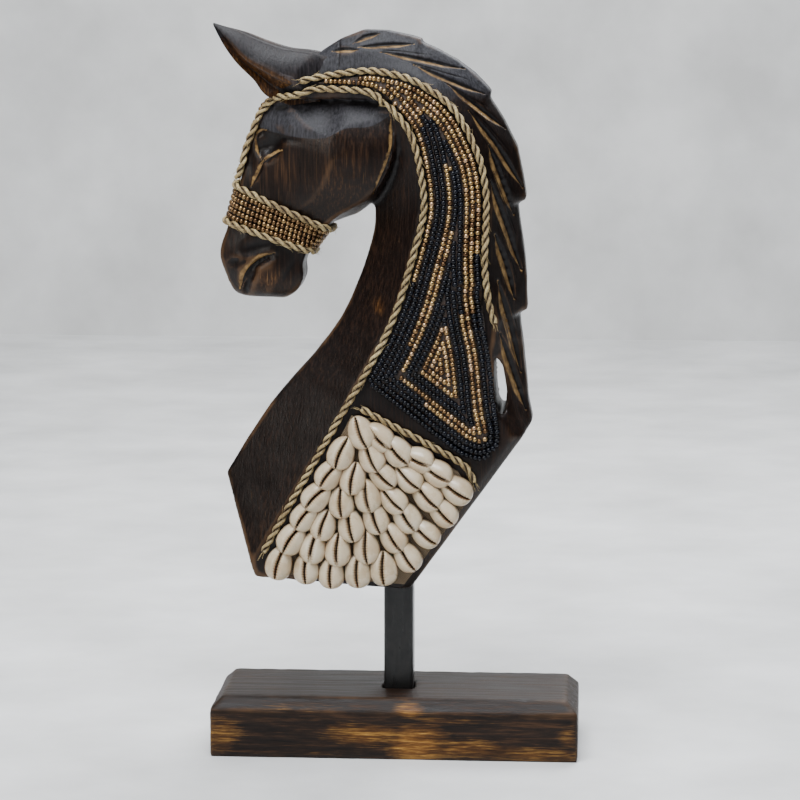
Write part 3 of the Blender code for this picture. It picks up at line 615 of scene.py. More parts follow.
def carveEar(name, side):
    work = bmesh.new()
    edges = []
    bare = []
    for i in range(ears["rows"] + 1):
        ring = earRing((len(earRows) - 1) * i / ears["rows"], side)
        verts = [work.verts.new(place) for place, _ in ring]
        bare += [share for _, share in ring]
        edges += [work.edges.new(pair) for pair in zip(verts, verts[1:] + verts[:1])]
    bmesh.ops.bridge_loops(work, edges=edges)
    bmesh.ops.holes_fill(work, edges=[e for e in work.edges if e.is_boundary], sides=0)
    bmesh.ops.recalc_face_normals(work, faces=work.faces)
    bmesh.ops.smooth_vert(
        work, verts=work.verts, factor=ears["eased"], use_axis_x=True, use_axis_y=True, use_axis_z=True,
    )
    piece = keep(name, work, smooth=True)
    bare = np.array(bare)
    attribute(piece, "bareWood", bare * ears["bareShare"])
    # painted sheen: the ear's outer faces get part of the grey that stands in for overhead sheen
    attribute(piece, "crown", ears["earSheen"] * (bare == 0))
    for nothing in ("darkPit", "litWall", "shutWall"):
        attribute(piece, nothing, np.zeros(len(bare)))
    attribute(piece, "wornEdge", sharpness(piece) * ears["edgeAndGrooveShare"])
    return piece


# How far each vertex stands above the middle of its neighbours, from -1 in a groove to 1 on an edge
def sharpness(piece, rounds=5, full=0.35):
    spots = coordinates(piece.data)
    count = len(spots)
    pairs = np.empty(2 * len(piece.data.edges), np.int64)
    piece.data.edges.foreach_get("vertices", pairs)
    one, two = pairs.reshape(-1, 2).T
    degree = np.bincount(np.concatenate([one, two]), minlength=count)
    eased = spots.copy()
    for _ in range(rounds):
        total = np.zeros_like(eased)
        np.add.at(total, one, eased[two])
        np.add.at(total, two, eased[one])
        eased = total / degree[:, None]
    above = ((spots - eased) * normals(piece.data)).sum(axis=1)
    return np.clip(above / (full * unit), -1, 1)


def stainedWood():
    wood = Finish("stainedWood")
    warp = wood.cloud(14.0, 2.0)
    grain = wood.cloud(1.0, 6.0, 0.6, wood.stretched((900.0, 900.0, 45.0)))
    pores = wood.cloud(1.0, 3.0, 0.7, wood.stretched((2600.0, 2600.0, 150.0)))
    threads = wood.cloud(1.0, 2.0, 0.5, wood.stretched((1700.0, 500.0, 30.0)))
    patches = wood.cloud(26.0, 4.0)
    stain = wood.ramp(
        grain * 0.7 + warp * 0.3, (0.30, (0.0020, 0.0012, 0.0010)), (0.52, (0.0065, 0.0032, 0.0022)),
        (0.72, (0.024, 0.010, 0.005)),
    )
    brown = wood.ramp(
        grain, (0.34, (0.010, 0.004, 0.0015)), (0.52, (0.040, 0.015, 0.004)), (0.70, (0.17, 0.078, 0.022)),
    )
    # painted sheen: grey-blue standing in for overhead light reflected by upward facets, with the grain
    # showing through
    paintedSheen = wood.ramp(grain, (0.35, (0.007, 0.007, 0.009)), (0.68, (0.042, 0.042, 0.050)))
    bare = wood.attribute("bareWood")
    curving = wood.attribute("wornEdge")
    lit = wood.grade(wood.attribute("litWall"), 0.12, 0.5)
    shadeOnWall = wood.grade(wood.attribute("shutWall"), 0.1, 0.5)
    share = (bare * (0.35 + patches * 1.1)).held()
    colour = wood.mix(share, stain, brown)
    streaks = wood.grade(threads, 0.66, 0.72) * (0.12 + bare * 0.9)
    colour = wood.mix(streaks.held(), colour, (0.16, 0.085, 0.03))
    # painted sheen laid over the crown facet, the poll crest and the ears' outer faces
    crown = wood.grade(wood.attribute("crown"), 0.1, 0.5)
    colour = wood.mix(crown * 0.8, colour, paintedSheen)
    edge = (wood.grade(curving, 0.35, 0.9) * wood.grade(patches, 0.45, 0.62)).held()
    colour = wood.mix(edge * 0.4, colour, (0.16, 0.085, 0.04))
    # painted shade: grooves and the pressed hollows are darkened to near black, where shade falls
    deep = (wood.grade(curving, -0.15, -0.7) + wood.attribute("darkPit")).held()
    colour = wood.mix(deep * 0.85, colour, (0.003, 0.002, 0.002))
    # golden bare wood in the knife cuts, painted only on the lit wall: the wood's own colour, placed as
    # painted light
    honey = wood.ramp(wood.cloud(260.0, 3.0), (0.35, (0.09, 0.048, 0.018)), (0.65, (0.36, 0.22, 0.085)))
    colour = wood.mix((lit * (0.2 + patches * 1.1)).held(), colour, honey)
    # painted shade: the shaded wall of each cut darkened to near black
    colour = wood.mix(shadeOnWall * 0.9, colour, (0.003, 0.002, 0.002))
    shine = wood.grade(grain + pores * 0.4, 0.4, 1.0, 0.26, 0.46) + crown * 0.13
    relief = wood.bump(grain, 0.4, 0.0004)
    relief = wood.bump(pores, 0.25, 0.0002, relief)
    wood.shader.inputs["Specular IOR Level"].default_value = 0.4
    wood.shader.inputs["IOR"].default_value = 1.33
    return wood.finished(Base_Color=colour, Roughness=shine, Normal=relief)


# Base block. goldenPlaces: middle, reach and amount on the front, in millimetres from the base's middle
block = {
    "voxel": 0.0014, "eased": 2, "grain": 0.35, "grainRuns": (18, 260, 260),
    "chips": 0.3, "chipRuns": 130, "chipShare": 0.2, "goldenOnTop": 0.35,
    "goldenPlaces": (
        ((12, 8), (17, 12), 0.95), ((9, 28), (9, 4), 0.8), ((-14, 14), (24, 8), 0.75),
        ((38, 7), (24, 6), 0.6), ((-95, 12), (14, 12), 0.6), ((-50, 28), (40, 3), 0.35),
        ((80, 4), (34, 6), 0.5), ((95, 15), (8, 8), 0.5), ((-40, 3), (50, 4), 0.3),
        ((30, 22), (30, 3), 0.4),
    ),
}


def burnedBase():
    work = bmesh.new()
    work.from_mesh(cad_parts["base_block"].data)
    bmesh.ops.remove_doubles(work, verts=work.verts, dist=1e-6)
    work = fineSkin(work, "burnedBase", block["voxel"], block["eased"])
    piece = keep("burnedBase", work, smooth=True)
    spots = coordinates(piece.data)
    facing = normals(piece.data)
    ridges = np.array([noise.noise(Vector(s * block["grainRuns"])) for s in spots])
    chips = np.array([noise.noise(Vector(s) * block["chipRuns"]) for s in spots])
    edge = np.clip(sharpness(piece), 0, 1)
    push = -block["grain"] * np.clip(ridges, 0, 1)
    push = push - block["chips"] * edge * np.clip(chips + block["chipShare"], 0, 1)
    push = np.where(facing[:, 2] < -0.5, 0, push)  # the underside stays flat
    spots = spots + facing * (push * unit)[:, None]
    piece.data.vertices.foreach_set("co", spots.ravel())
    attribute(piece, "wornEdge", sharpness(piece))
    golden = np.zeros(len(spots))
    for (x, z), (wide, high), amount in block["goldenPlaces"]:
        reach = ((spots[:, 0] / unit - x) / wide) ** 2 + ((spots[:, 2] / unit - z) / high) ** 2
        golden = np.maximum(golden, amount * np.exp(-reach))
    attribute(piece, "golden", golden * np.where(facing[:, 2] > 0.9, block["goldenOnTop"], 1.0))
    piece.data.update()
    return piece


def burnedWood():
    wood = Finish("burnedWood")
    grain = wood.cloud(1.0, 6.0, 0.6, wood.stretched((22.0, 420.0, 420.0)))
    fine = wood.cloud(1.0, 4.0, 0.6, wood.stretched((110.0, 1700.0, 1700.0)))
    patches = wood.cloud(34.0, 4.0, 0.6, wood.stretched((0.6, 1.0, 1.6)))
    curving = wood.attribute("wornEdge")
    burnt = wood.ramp(
        grain * 0.6 + fine * 0.4, (0.36, (0.0025, 0.0015, 0.0012)), (0.52, (0.014, 0.007, 0.004)),
        (0.66, (0.060, 0.028, 0.012)),
    )
    golden = wood.ramp(
        grain * 0.5 + fine * 0.5, (0.34, (0.02, 0.008, 0.002)), (0.50, (0.15, 0.060, 0.012)),
        (0.64, (0.46, 0.24, 0.050)),
    )
    share = wood.grade(wood.attribute("golden") + patches * 0.9 + fine * 0.5, 0.98, 1.55)
    colour = wood.mix(share, burnt, golden)
    edge = wood.grade(curving, 0.3, 0.9) * wood.grade(patches, 0.45, 0.65)
    colour = wood.mix(edge * 0.15, colour, (0.20, 0.10, 0.035))
    shine = wood.grade(grain, 0.3, 0.7, 0.36, 0.58)
    relief = wood.bump(fine, 0.5, 0.0004, wood.bump(grain, 0.4, 0.0008))
    wood.shader.inputs["IOR"].default_value = 1.3
    return wood.finished(Base_Color=colour, Roughness=shine, Normal=relief)


# Post
post = {"bevel": 0.0006, "segments": 3, "sharpest": 0.6, "flat": 0.02}


def paintedPost():
    work = bmesh.new()
    work.from_mesh(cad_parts["post"].data)
    bmesh.ops.remove_doubles(work, verts=work.verts, dist=1e-6)
    bmesh.ops.dissolve_limit(work, angle_limit=post["flat"], verts=work.verts, edges=work.edges)
    sharp = [e for e in work.edges if len(e.link_faces) == 2 and e.calc_face_angle() > post["sharpest"]]
    bmesh.ops.bevel(
        work, geom=sharp, offset=post["bevel"], segments=post["segments"], profile=0.5,
        affect="EDGES", material=-1,
    )
    return keep("paintedPost", work)


def blackPaint():
    paint = Finish("blackPaint")
    spots = paint.cloud(120.0, 4.0)
    streaks = paint.cloud(1.0, 4.0, 0.6, paint.stretched((700.0, 700.0, 60.0)))
    colour = paint.ramp(spots, (0.35, (0.004, 0.004, 0.004)), (0.7, (0.014, 0.013, 0.012)))
    shine = paint.grade(streaks, 0.3, 0.7, 0.26, 0.42)
    paint.shader.inputs["Specular IOR Level"].default_value = 0.35
    return paint.finished(Base_Color=colour, Roughness=shine, Normal=paint.bump(streaks, 0.3, 0.0004))


# Ropes
ropes = {
    "diameter": 3.9, "pitch": 12.4, "strands": 2, "step": 0.7, "sections": 2, "strandShare": 1.02,
    "swell": 0.12, "swellRuns": 0.11, "slack": 0.5, "slackRuns": 0.05, "averaged": 4,
    "fibreEvery": 5.0, "fibreLength": 5.0, "fibreRadius": 0.11, "endFibres": 5,
    "from": 90, "faceHalf": 12.5, "steepest": 0.12, "muzzleEnd": -33, "eased": 4, "loopEased": 6,
}
frontRope = (
    (-87.2, 221.2), (-84.8, 230.5), (-82.4, 241.5), (-78.4, 251.7), (-74.0, 258.8), (-66.5, 263.1),
    (-55.5, 267), (-43.5, 269.4), (-22, 268.8), (-11, 266.6), (-1.7, 258.8), (8.3, 245.2),
    (13.7, 223.7), (15.1, 208), (12.7, 194.2), (9.4, 182.1), (2.6, 158.3), (-5.9, 137.5), (-18, 115),
    (-24.8, 103.5), (-39.6, 77.5), (-60, 41.5), (-71.8, 20.5),
)
crestRope = (
    (-52.3, 273.3), (-39, 276), (-15.9, 279.1), (-2.5, 277.4), (7.5, 274.7), (17.7, 269.7),
    (27.8, 262.1), (35.2, 252.7), (40.7, 242), (45.4, 229.9), (47.9, 213), (47.6, 191.4),
    (47.3, 176), (49.4, 158), (52.6, 146.2),
)
shellRope = ((-18.6, 99.4), (-1.9, 90.4), (18.6, 79.8), (37.2, 68.9), (42.0, 60))
nosebandUpper = ((-86.8, 216.9), (-38.0, 194.8))
nosebandLower = ((-93.5, 198.3), (-48.5, 182.9))


# A drawn line laid on one side of the carving, with the way out of the wood at each point
def laidLine(skin, line, side, lift, step):
    laid = []
    for x, z in evenly(line, step):
        hit, normal, _, _ = skin.ray_cast(at(x, side * ropes["from"], z), Vector((0, -side, 0)))
        if hit is None or normal.y * side < ropes["steepest"]:
            hit, normal, _, _ = skin.find_nearest(at(x, side * ropes["faceHalf"], z))
        laid.append(hit + normal * lift * unit)
    for _ in range(ropes["eased"]):
        eased = [a.lerp((b + c) / 2, 0.5) for a, b, c in zip(laid[1:], laid, laid[2:])]
        laid = [laid[0]] + eased + [laid[-1]]
        laid = [standOff(skin, point, lift * unit) for point in laid]
    return laid


def standOff(skin, point, distance):
    near, normal, _, _ = skin.find_nearest(point)
    away = point - near
    if away.dot(normal) < 0 or away.length < 1e-7:
        return near + normal * distance
    if away.length < distance:
        return near + away.normalized() * distance
    return point


# The loop where a plane through two drawn points cuts the muzzle, kept off the wood
def muzzleLoop(horse, first, second, lift, step):
    start = at(first[0], 0, first[1])
    along = (at(second[0], 0, second[1]) - start).normalized()
    upright = Vector((-along.z, 0, along.x))
    work = bmesh.new()
    work.from_mesh(horse.data)
    everything = list(work.verts) + list(work.edges) + list(work.faces)
    cut = bmesh.ops.bisect_plane(work, geom=everything, dist=1e-7, plane_co=start, plane_no=upright)
    points = []
    for part in cut["geom_cut"]:
        if isinstance(part, bmesh.types.BMVert) and part.co.x < at(ropes["muzzleEnd"], 0, 0).x:
            points.append(part.co.copy())
    work.free()
    middle = sum(points, Vector()) / len(points)
    flat = sorted(points, key=lambda p: math.atan2(p.y - middle.y, (p - middle).dot(along)))
    ring = [tuple(point) for point in flat] + [tuple(flat[0])]
    ring = [Vector(point) for point in evenly(ring, step * unit)][:-1]
    for _ in range(ropes["loopEased"]):
        eased = []
        for i, point in enumerate(ring):
            eased.append(point.lerp((ring[i - 1] + ring[(i + 1) % len(ring)]) / 2, 0.5))
        ring = eased
    grown = []
    for i, point in enumerate(ring):
        run = ring[(i + 1) % len(ring)] - ring[i - 1]
        out = run.cross(upright).normalized()
        if out.dot(point - middle) < 0:
            out = -out
        grown.append(point + out * lift * unit)
    return grown


# Place, run, way out of the wood and way across at each point of a rope
def ropeFrames(points, skin, closed):
    outs = [(point - skin.find_nearest(point)[0]).normalized() for point in points]
    count = len(points)
    frames = []
    for i, point in enumerate(points):
        before = points[i - 1] if closed or i else point
        after = points[(i + 1) % count] if closed or i < count - 1 else point
        along = (after - before).normalized()
        out = sum(outs[max(i - ropes["averaged"], 0):i + ropes["averaged"] + 1], Vector())
        out = (out - along * out.dot(along)).normalized()
        frames.append((point, along, out, along.cross(out)))
    return frames


# One strand wound round the rope, a little uneven in its turn and its thickness
def windStrand(curve, frames, strand, closed, seed):
    count = len(frames)
    turns = max(1, round(ropes["step"] * count / ropes["pitch"]))
    radius = ropes["diameter"] / 4
    line = curve.splines.new("POLY")
    line.points.add(count - 1)
    for i, (point, _, out, across) in enumerate(frames):
        wobble = 1 + ropes["swell"] * noise.noise(Vector((i * ropes["swellRuns"], strand * 7.0, seed)))
        angle = 2 * math.pi * (turns * i / count + strand / ropes["strands"])
        angle += ropes["slack"] * noise.noise(Vector((i * ropes["slackRuns"], 3.3, seed)))
        place = point + (out * math.cos(angle) + across * math.sin(angle)) * radius * unit
        line.points[i].co = (*place, 1.0)
        line.points[i].radius = radius * unit * ropes["strandShare"] * wobble
    line.use_cyclic_u = closed


# A twisted rope along a path, with a few loose fibres and, where it isn't closed, frayed ends
def twistedRope(name, skin, path, closed=False):
    curve = bpy.data.curves.new(name, "CURVE")
    curve.dimensions = "3D"
    curve.bevel_depth = 1.0
    curve.bevel_resolution = ropes["sections"]
    curve.use_fill_caps = True
    points = [tuple(point) for point in path]
    if closed:
        points.append(points[0])
    points = [Vector(point) for point in evenly(points, ropes["step"] * unit)]
    if closed:
        points = points[:-1]
    frames = ropeFrames(points, skin, closed)
    for strand in range(ropes["strands"]):
        windStrand(curve, frames, strand, closed, len(name))
    looseFibres(curve, frames, closed)
    thing = bpy.data.objects.new(name + "Rough", curve)
    bpy.context.scene.collection.objects.link(thing)
    depsgraph = bpy.context.evaluated_depsgraph_get()
    made = bpy.data.meshes.new_from_object(thing.evaluated_get(depsgraph))
    bpy.data.objects.remove(thing)
    made.name = name
    made.shade_smooth()
    piece = bpy.data.objects.new(name, made)
    bpy.context.scene.collection.objects.link(piece)
    tree = KDTree(len(points))
    for i, point in enumerate(points):
        tree.insert(point, i)
    tree.balance()
    # painted shade: how near each point of the rope lies to its middle, so the crevices between the
    # strands get darker
    reach = np.array([tree.find(vert.co)[2] for vert in made.vertices]) / (ropes["diameter"] / 2 * unit)
    attribute(piece, "crevice", np.clip(1 - reach, 0, 1))
    return piece


def looseFibres(curve, frames, closed):
    count = len(frames)
    total = int(count * ropes["step"] / ropes["fibreEvery"])
    starts = [random.randrange(count) for _ in range(total)]
    if not closed:
        starts += [0] * ropes["endFibres"] + [count - 1] * ropes["endFibres"]
    for start in starts:
        point, along, out, across = frames[start]
        atEnd = not closed and start in (0, count - 1)
        way = along if start else -along
        if not atEnd:
            way = along * random.choice((-1, 1))
        angle = random.uniform(-1.3, 1.3)
        lift = out * math.cos(angle) + across * math.sin(angle)
        reach = ropes["fibreLength"] * random.uniform(0.5, 1.1) * unit
        radius = ropes["diameter"] / 2 * unit
        spread = random.uniform(0.1, 0.45)
        line = curve.splines.new("POLY")
        line.points.add(4)
        for i in range(5):
            share = i / 4
            place = point + lift * radius * (0.55 + 0.4 * (not atEnd)) + way * reach * share
            place += lift * reach * spread * share ** 2
            place += across * reach * random.uniform(-0.04, 0.04)
            line.points[i].co = (*place, 1.0)
            thin = 1 - 0.6 * share
            line.points[i].radius = ropes["fibreRadius"] * unit * thin * random.uniform(0.8, 1.3)


def dryGrass():
    grass = Finish("dryGrass")
    strands = grass.cloud(900.0, 3.0)
    patches = grass.cloud(70.0, 3.0)
    lines = grass.cloud(1.0, 3.0, 0.6, grass.stretched((1500.0, 1500.0, 500.0)))
    straw = grass.ramp(
        strands * 0.35 + lines * 0.35 + patches * 0.3,
        (0.34, (0.08, 0.045, 0.018)), (0.47, (0.27, 0.19, 0.080)), (0.62, (0.52, 0.42, 0.21)),
    )
    # painted shade in the crevices between the twisted strands
    straw = grass.mix(grass.grade(grass.attribute("crevice"), 0.12, 0.55), straw, (0.035, 0.018, 0.007))
    relief = grass.bump(lines, 0.7, 0.0003)
    return grass.finished(Base_Color=straw, Roughness=0.62, Normal=relief)


# Seed beads, in millimetres. edgesFrom and fillOver are places on the sheet
beads = {
    "radius": 1.58, "half": 1.16, "pitch": 2.45, "across": 3.15, "lift": 1.75,
    "segments": 10, "jitter": 0.12, "tilt": 0.17, "apart": 2.1, "fills": 2.45,
    "square": 4, "strands": 14, "fromRope": 0.5, "ownRoom": 0.25, "otherRoom": 0.45,
    "edgesFrom": (-46, 113, 166), "fillOver": ((-46, 56), (70, 280)),
    "sizes": (0.93, 1.05), "lengths": (0.88, 1.08), "bedHeight": 1.5,
}
panelLeftFoot = (-13.6, 111.0)
panelRear = ((44.6, 162), (46.9, 146), (49.6, 134), (51.6, 119), (53.4, 101), (55.8, 88), (54.6, 78.5))
panelFoot = (44.6, 71.4)
panelHem = ((34.6, 74.4), (19.7, 85.4))
faceStrip = ((-67.5, 262.5), (-73.6, 256), (-77.4, 247), (-81.2, 236), (-84, 224.5))
faceStrands = (-6.3, -3.15, 0.0, 3.15, 6.3)

# Heights and places on the sheet where the strands of a panel change their colour
pattern = {
    "goldAbove": 257, "goldFront": (14, 240), "edgeFrom": 168.5, "line": (134, 232), "innerLine": 195,
    "triangleTop": 144, "footRise": 14, "footSlope": -0.638, "footEnd": 46, "neckFrom": 150,
    "rearEdge": 184, "footLine": 16,
}


# One bead round the X axis: a low ring with a hole
def beadMesh():
    work = bmesh.new()
    radius, half = beads["radius"] * unit, beads["half"] * unit
    profile = ((-half, 0.42), (-half * 0.86, 0.78), (0, 1.0), (half * 0.86, 0.78), (half, 0.42))
    line = [work.verts.new((x, 0, r * radius)) for x, r in profile]
    edges = [work.edges.new(pair) for pair in zip(line, line[1:])]
    bmesh.ops.spin(
        work, geom=line + edges, cent=(0, 0, 0), axis=(1, 0, 0), angle=2 * math.pi,
        steps=beads["segments"], use_merge=True, use_duplicate=False,
    )
    bmesh.ops.remove_doubles(work, verts=work.verts, dist=1e-7)
    rims = [e for e in work.edges if e.is_boundary]
    bmesh.ops.holes_fill(work, edges=rims, sides=0)
    bmesh.ops.recalc_face_normals(work, faces=work.faces)
    made = bpy.data.meshes.new("bead")
    work.to_mesh(made)
    work.free()
    made.shade_smooth()
    return made


# Copies of one small mesh, each with its own place and tint, as one piece
def strewn(name, one, places, tints):
    work = bmesh.new()
    for place in places:
        copy = one.copy()
        copy.transform(place)
        work.from_mesh(copy)
        bpy.data.meshes.remove(copy)
    piece = keep(name, work, smooth=True)
    attribute(piece, "tint", np.repeat(tints, len(one.vertices)))
    return piece


def beadPlace(point, along, out):
    along = (along + Vector([random.uniform(-1, 1) for _ in range(3)]) * beads["tilt"]).normalized()
    out = (out - along * out.dot(along)).normalized()
    across = out.cross(along)
    size = random.uniform(*beads["sizes"])
    length = random.uniform(*beads["lengths"])
    shift = [random.uniform(-1, 1) * beads["jitter"] * unit for _ in range(3)]
    rows = zip(along * size * length, across * size, out * size, point + Vector(shift))
    return Matrix([list(row) for row in rows] + [[0, 0, 0, 1]])


# Whether a bead is black, from the strand it is on, counted from the edge that it follows
def isBlack(edge, strand, x, z):
    if edge == "hem":
        return True
    frontTo, frontAbove = pattern["goldFront"]
    if z > pattern["goldAbove"] or x < frontTo and z > frontAbove:
        return False
    if edge == "front":
        low, high = pattern["line"]
        if strand == 0:
            return z < pattern["edgeFrom"]
        if strand == 3:
            return z > high or z < low
        if strand == 4:
            return z > pattern["innerLine"]
        return strand < 7 or z > pattern["triangleTop"]
    footX, footZ = panelLeftFoot
    footTop = footZ + pattern["footSlope"] * (x - footX) + pattern["footRise"]
    onFoot = z < footTop and x < pattern["footEnd"]
    if z > pattern["neckFrom"] and not onFoot:
        return strand >= 3 or strand == 0 and z < pattern["rearEdge"]
    if strand == 2:
        return onFoot and x < pattern["footLine"]
    return strand != 3 and (strand < 6 or z > pattern["triangleTop"])


# The beads of a panel, sorted into small squares of the sheet so that neighbours are found at once
class Strung:
    def __init__(self):
        self.beads = []
        self.squares = {}

    def near(self, x, z):
        column, row = int(x // beads["square"]), int(z // beads["square"])
        found = []
        for a in (-1, 0, 1):
            for b in (-1, 0, 1):
                found += self.squares.get((column + a, row + b), [])
        return sorted(found, key=lambda bead: math.dist(bead[:2], (x, z)))

    def room(self, x, z, apart):
        found = self.near(x, z)
        return not found or math.dist(found[0][:2], (x, z)) >= apart

    def add(self, x, z, along, black):
        bead = (x, z, along, black)
        self.beads.append(bead)
        square = (int(x // beads["square"]), int(z // beads["square"]))
        self.squares.setdefault(square, []).append(bead)


# Beads stuck one by one where strands meet, in the colour that most beads around them have
def fillGaps(strung, front, rear):
    (left, right), (low, high) = beads["fillOver"]
    tries = [(x / 2, z / 2) for z in range(2 * low, 2 * high) for x in range(2 * left, 2 * right)]
    spots = np.array(tries)
    free = insidePanel(spots, front, rear) & (distanceTo(spots, front) > beads["across"] / 2)
    free &= distanceTo(spots, rear) > beads["across"] / 2
    for (x, z), inside in zip(tries, free):
        if inside and strung.room(x, z, beads["fills"]):
            around = strung.near(x, z)[:3]
            if len(around) == 3:
                strung.add(x, z, around[0][2], sum(bead[3] for bead in around) > 1)


# Strands follow the nearest edge of the panel, each a strand's width inside the last
def panelBeads(skin, side):
    clear = ropes["diameter"] / 2 + beads["fromRope"]
    across = beads["across"]
    left, frontLow, rearLow = beads["edgesFrom"]
    front = [p for p in shifted(smoothLine(frontRope, 1.5), -clear) if p[0] > left and p[1] > frontLow]
    rear = [p for p in shifted(smoothLine(crestRope, 1.5), clear) if p[0] > left and p[1] > rearLow]
    front = front + [panelLeftFoot]
    rear = rear + smoothLine(panelRear, 1.5)
    foot = smoothLine((panelFoot, *panelHem, panelLeftFoot), 1.5)
    inner = shifted(foot, across)
    corner = smoothLine((panelRear[-2], panelRear[-1], inner[0], inner[3]), 1.5)
    rim = evenly(rear[:-5] + corner + inner[4:], 1.5)
    edges = {"hem": (evenly(foot, 1.5), 1), "front": (front, -1), "rim": (rim, 1)}
    strung = Strung()
    for strand in range(beads["strands"]):
        inset = (strand + 0.5) * across
        for edge, (line, way) in edges.items():
            if edge == "hem" and strand:
                continue
            path = evenly(shifted(line, way * inset), beads["pitch"])
            spots = np.array(path)
            keptHere = insidePanel(spots, front, rear)
            for other, (outline, _) in edges.items():
                if edge != "hem" and other != "hem":
                    room = beads["ownRoom"] if other == edge else beads["otherRoom"]
                    keptHere &= distanceTo(spots, outline) > inset - room * across
            for i, (x, z) in enumerate(path):
                if keptHere[i] and strung.room(x, z, beads["apart"]):
                    one, two = path[max(i - 1, 0)], path[min(i + 1, len(path) - 1)]
                    strung.add(x, z, (two[0] - one[0], two[1] - one[1]), isBlack(edge, strand, x, z))
    fillGaps(strung, front, rear)
    places = {"gold": [], "black": []}
    for x, z, (dx, dz), black in strung.beads:
        hit, normal, _, _ = skin.ray_cast(at(x, side * ropes["from"], z), Vector((0, -side, 0)))
        if hit:
            along = Vector((dx, 0, dz)).normalized()
            point = hit + normal * beads["lift"] * unit
            along = (along - normal * along.dot(normal)).normalized()
            places["black" if black else "gold"].append(beadPlace(point, along, normal))
    return places


# Even-odd test of points of the sheet against the panel's outline
def insidePanel(spots, front, rear):
    outline = list(front) + list(panelHem)[::-1] + [panelFoot] + list(rear)[::-1]
    inside = np.zeros(len(spots), bool)
    for (ax, az), (bx, bz) in zip(outline, outline[1:] + outline[:1]):
        crosses = (az > spots[:, 1]) != (bz > spots[:, 1])
        reach = (bx - ax) * (spots[:, 1] - az) / ((bz - az) or 1e-9) + ax
        inside ^= crosses & (spots[:, 0] < reach)
    return inside


def nosebandStrands(horse, skin):
    places = []
    for strand in range(5):
        share = (strand + 1.05) / 6.1
        ends = []
        for upper, lower in zip(nosebandUpper, nosebandLower):
            ends.append(tuple(a + (b - a) * share for a, b in zip(upper, lower)))
        ring = muzzleLoop(horse, *ends, beads["lift"] + 0.2, beads["pitch"])
        for i, point in enumerate(ring):
            near, _, _, _ = skin.find_nearest(point)
            along = ring[(i + 1) % len(ring)] - ring[i - 1]
            places.append(beadPlace(point, along.normalized(), (point - near).normalized()))
    return places


def faceStrandPlaces(skin):
    places = []
    for y in faceStrands:
        path = []
        for x, z in smoothLine(faceStrip, beads["pitch"]):
            way = (at(x, 0, z) - at(x - 30, 0, z + 8)).normalized()
            hit, normal, _, _ = skin.ray_cast(at(x - 30, y, z + 8), way)
            if hit:
                path.append((hit + normal * beads["lift"] * unit, normal))
        for i, (point, normal) in enumerate(path):
            along = path[min(i + 1, len(path) - 1)][0] - path[max(i - 1, 0)][0]
            places.append(beadPlace(point, along.normalized(), normal))
    return places


# The dark bed of glue and thread under the beads: the CAD plate pressed low
def beadBed(name, node, skin):
    work = bmesh.new()
    work.from_mesh(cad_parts[node].data)
    bmesh.ops.remove_doubles(work, verts=work.verts, dist=1e-6)
    bmesh.ops.subdivide_edges(work, edges=work.edges, cuts=2, use_grid_fill=True)
    for vert in work.verts:
        near, normal, _, _ = skin.find_nearest(vert.co)
        height = (vert.co - near).length
        vert.co = near + (vert.co - near).normalized() * min(height, beads["bedHeight"] * unit)
    return keep(name, work, smooth=True)


def goldGlaze():
    gold = Finish("bronzeBead")
    tint = gold.attribute("tint")
    colour = gold.ramp(
        tint, (0.0, (0.09, 0.048, 0.024)), (0.35, (0.24, 0.145, 0.066)), (0.75, (0.38, 0.26, 0.115)),
        (1.0, (0.44, 0.29, 0.18)),
    )
    haze = gold.cloud(1500.0, 2.0)
    shine = gold.grade(haze, 0.3, 0.7, 0.22, 0.36)
    return gold.finished(Base_Color=colour, Roughness=shine, Metallic=0.9)


def blackGlaze():
    glass = Finish("blackBead")
    tint = glass.attribute("tint")
    colour = glass.ramp(tint, (0.0, (0.002, 0.002, 0.003)), (1.0, (0.005, 0.006, 0.010)))
    shine = glass.grade(glass.cloud(1500.0, 2.0), 0.3, 0.7, 0.10, 0.22)
    glass.shader.inputs["IOR"].default_value = 1.3
    return glass.finished(Base_Color=colour, Roughness=shine)


def darkGlue():
    glue = Finish("darkGlue")
    colour = glue.ramp(glue.cloud(400.0), (0.35, (0.010, 0.006, 0.004)), (0.7, (0.045, 0.022, 0.012)))
    relief = glue.bump(glue.cloud(900.0), 0.6, 0.0004)
    return glue.finished(Base_Color=colour, Roughness=0.55, Normal=relief)


# Cowries. Widths across the shell are shares of the way from the slit to the rim
cowrie = {
    "length": 18.9, "width": 15.0, "height": 6.9, "rings": 48, "across": 30, "tilt": 12.0, "bed": 1.0,
    "ends": 2.3, "egg": 0.13, "thinnest": 0.02, "crowded": 1.25,
    "slitAt": -0.10, "slitCurve": 0.16, "slitSlant": 0.09, "slitWidth": 0.075, "slitDepth": 0.5,
    "teeth": 13, "toothWidth": 0.055, "toothAt": 0.17, "toothHeight": 0.05,
    "lipWidth": 0.42, "lipDrop": 0.20,
    "domeRound": 2.1, "domeFull": 0.6, "lowHalf": 0.84, "least": 0.03,
    "rimFrom": 0.55, "rimShade": 0.45, "toothShade": 0.55, "footShade": 0.6, "foot": (0.84, 0.78, 0.0),
    "turnJitter": 0.1, "tiltJitter": 2, "sizes": (0.94, 1.02),
}

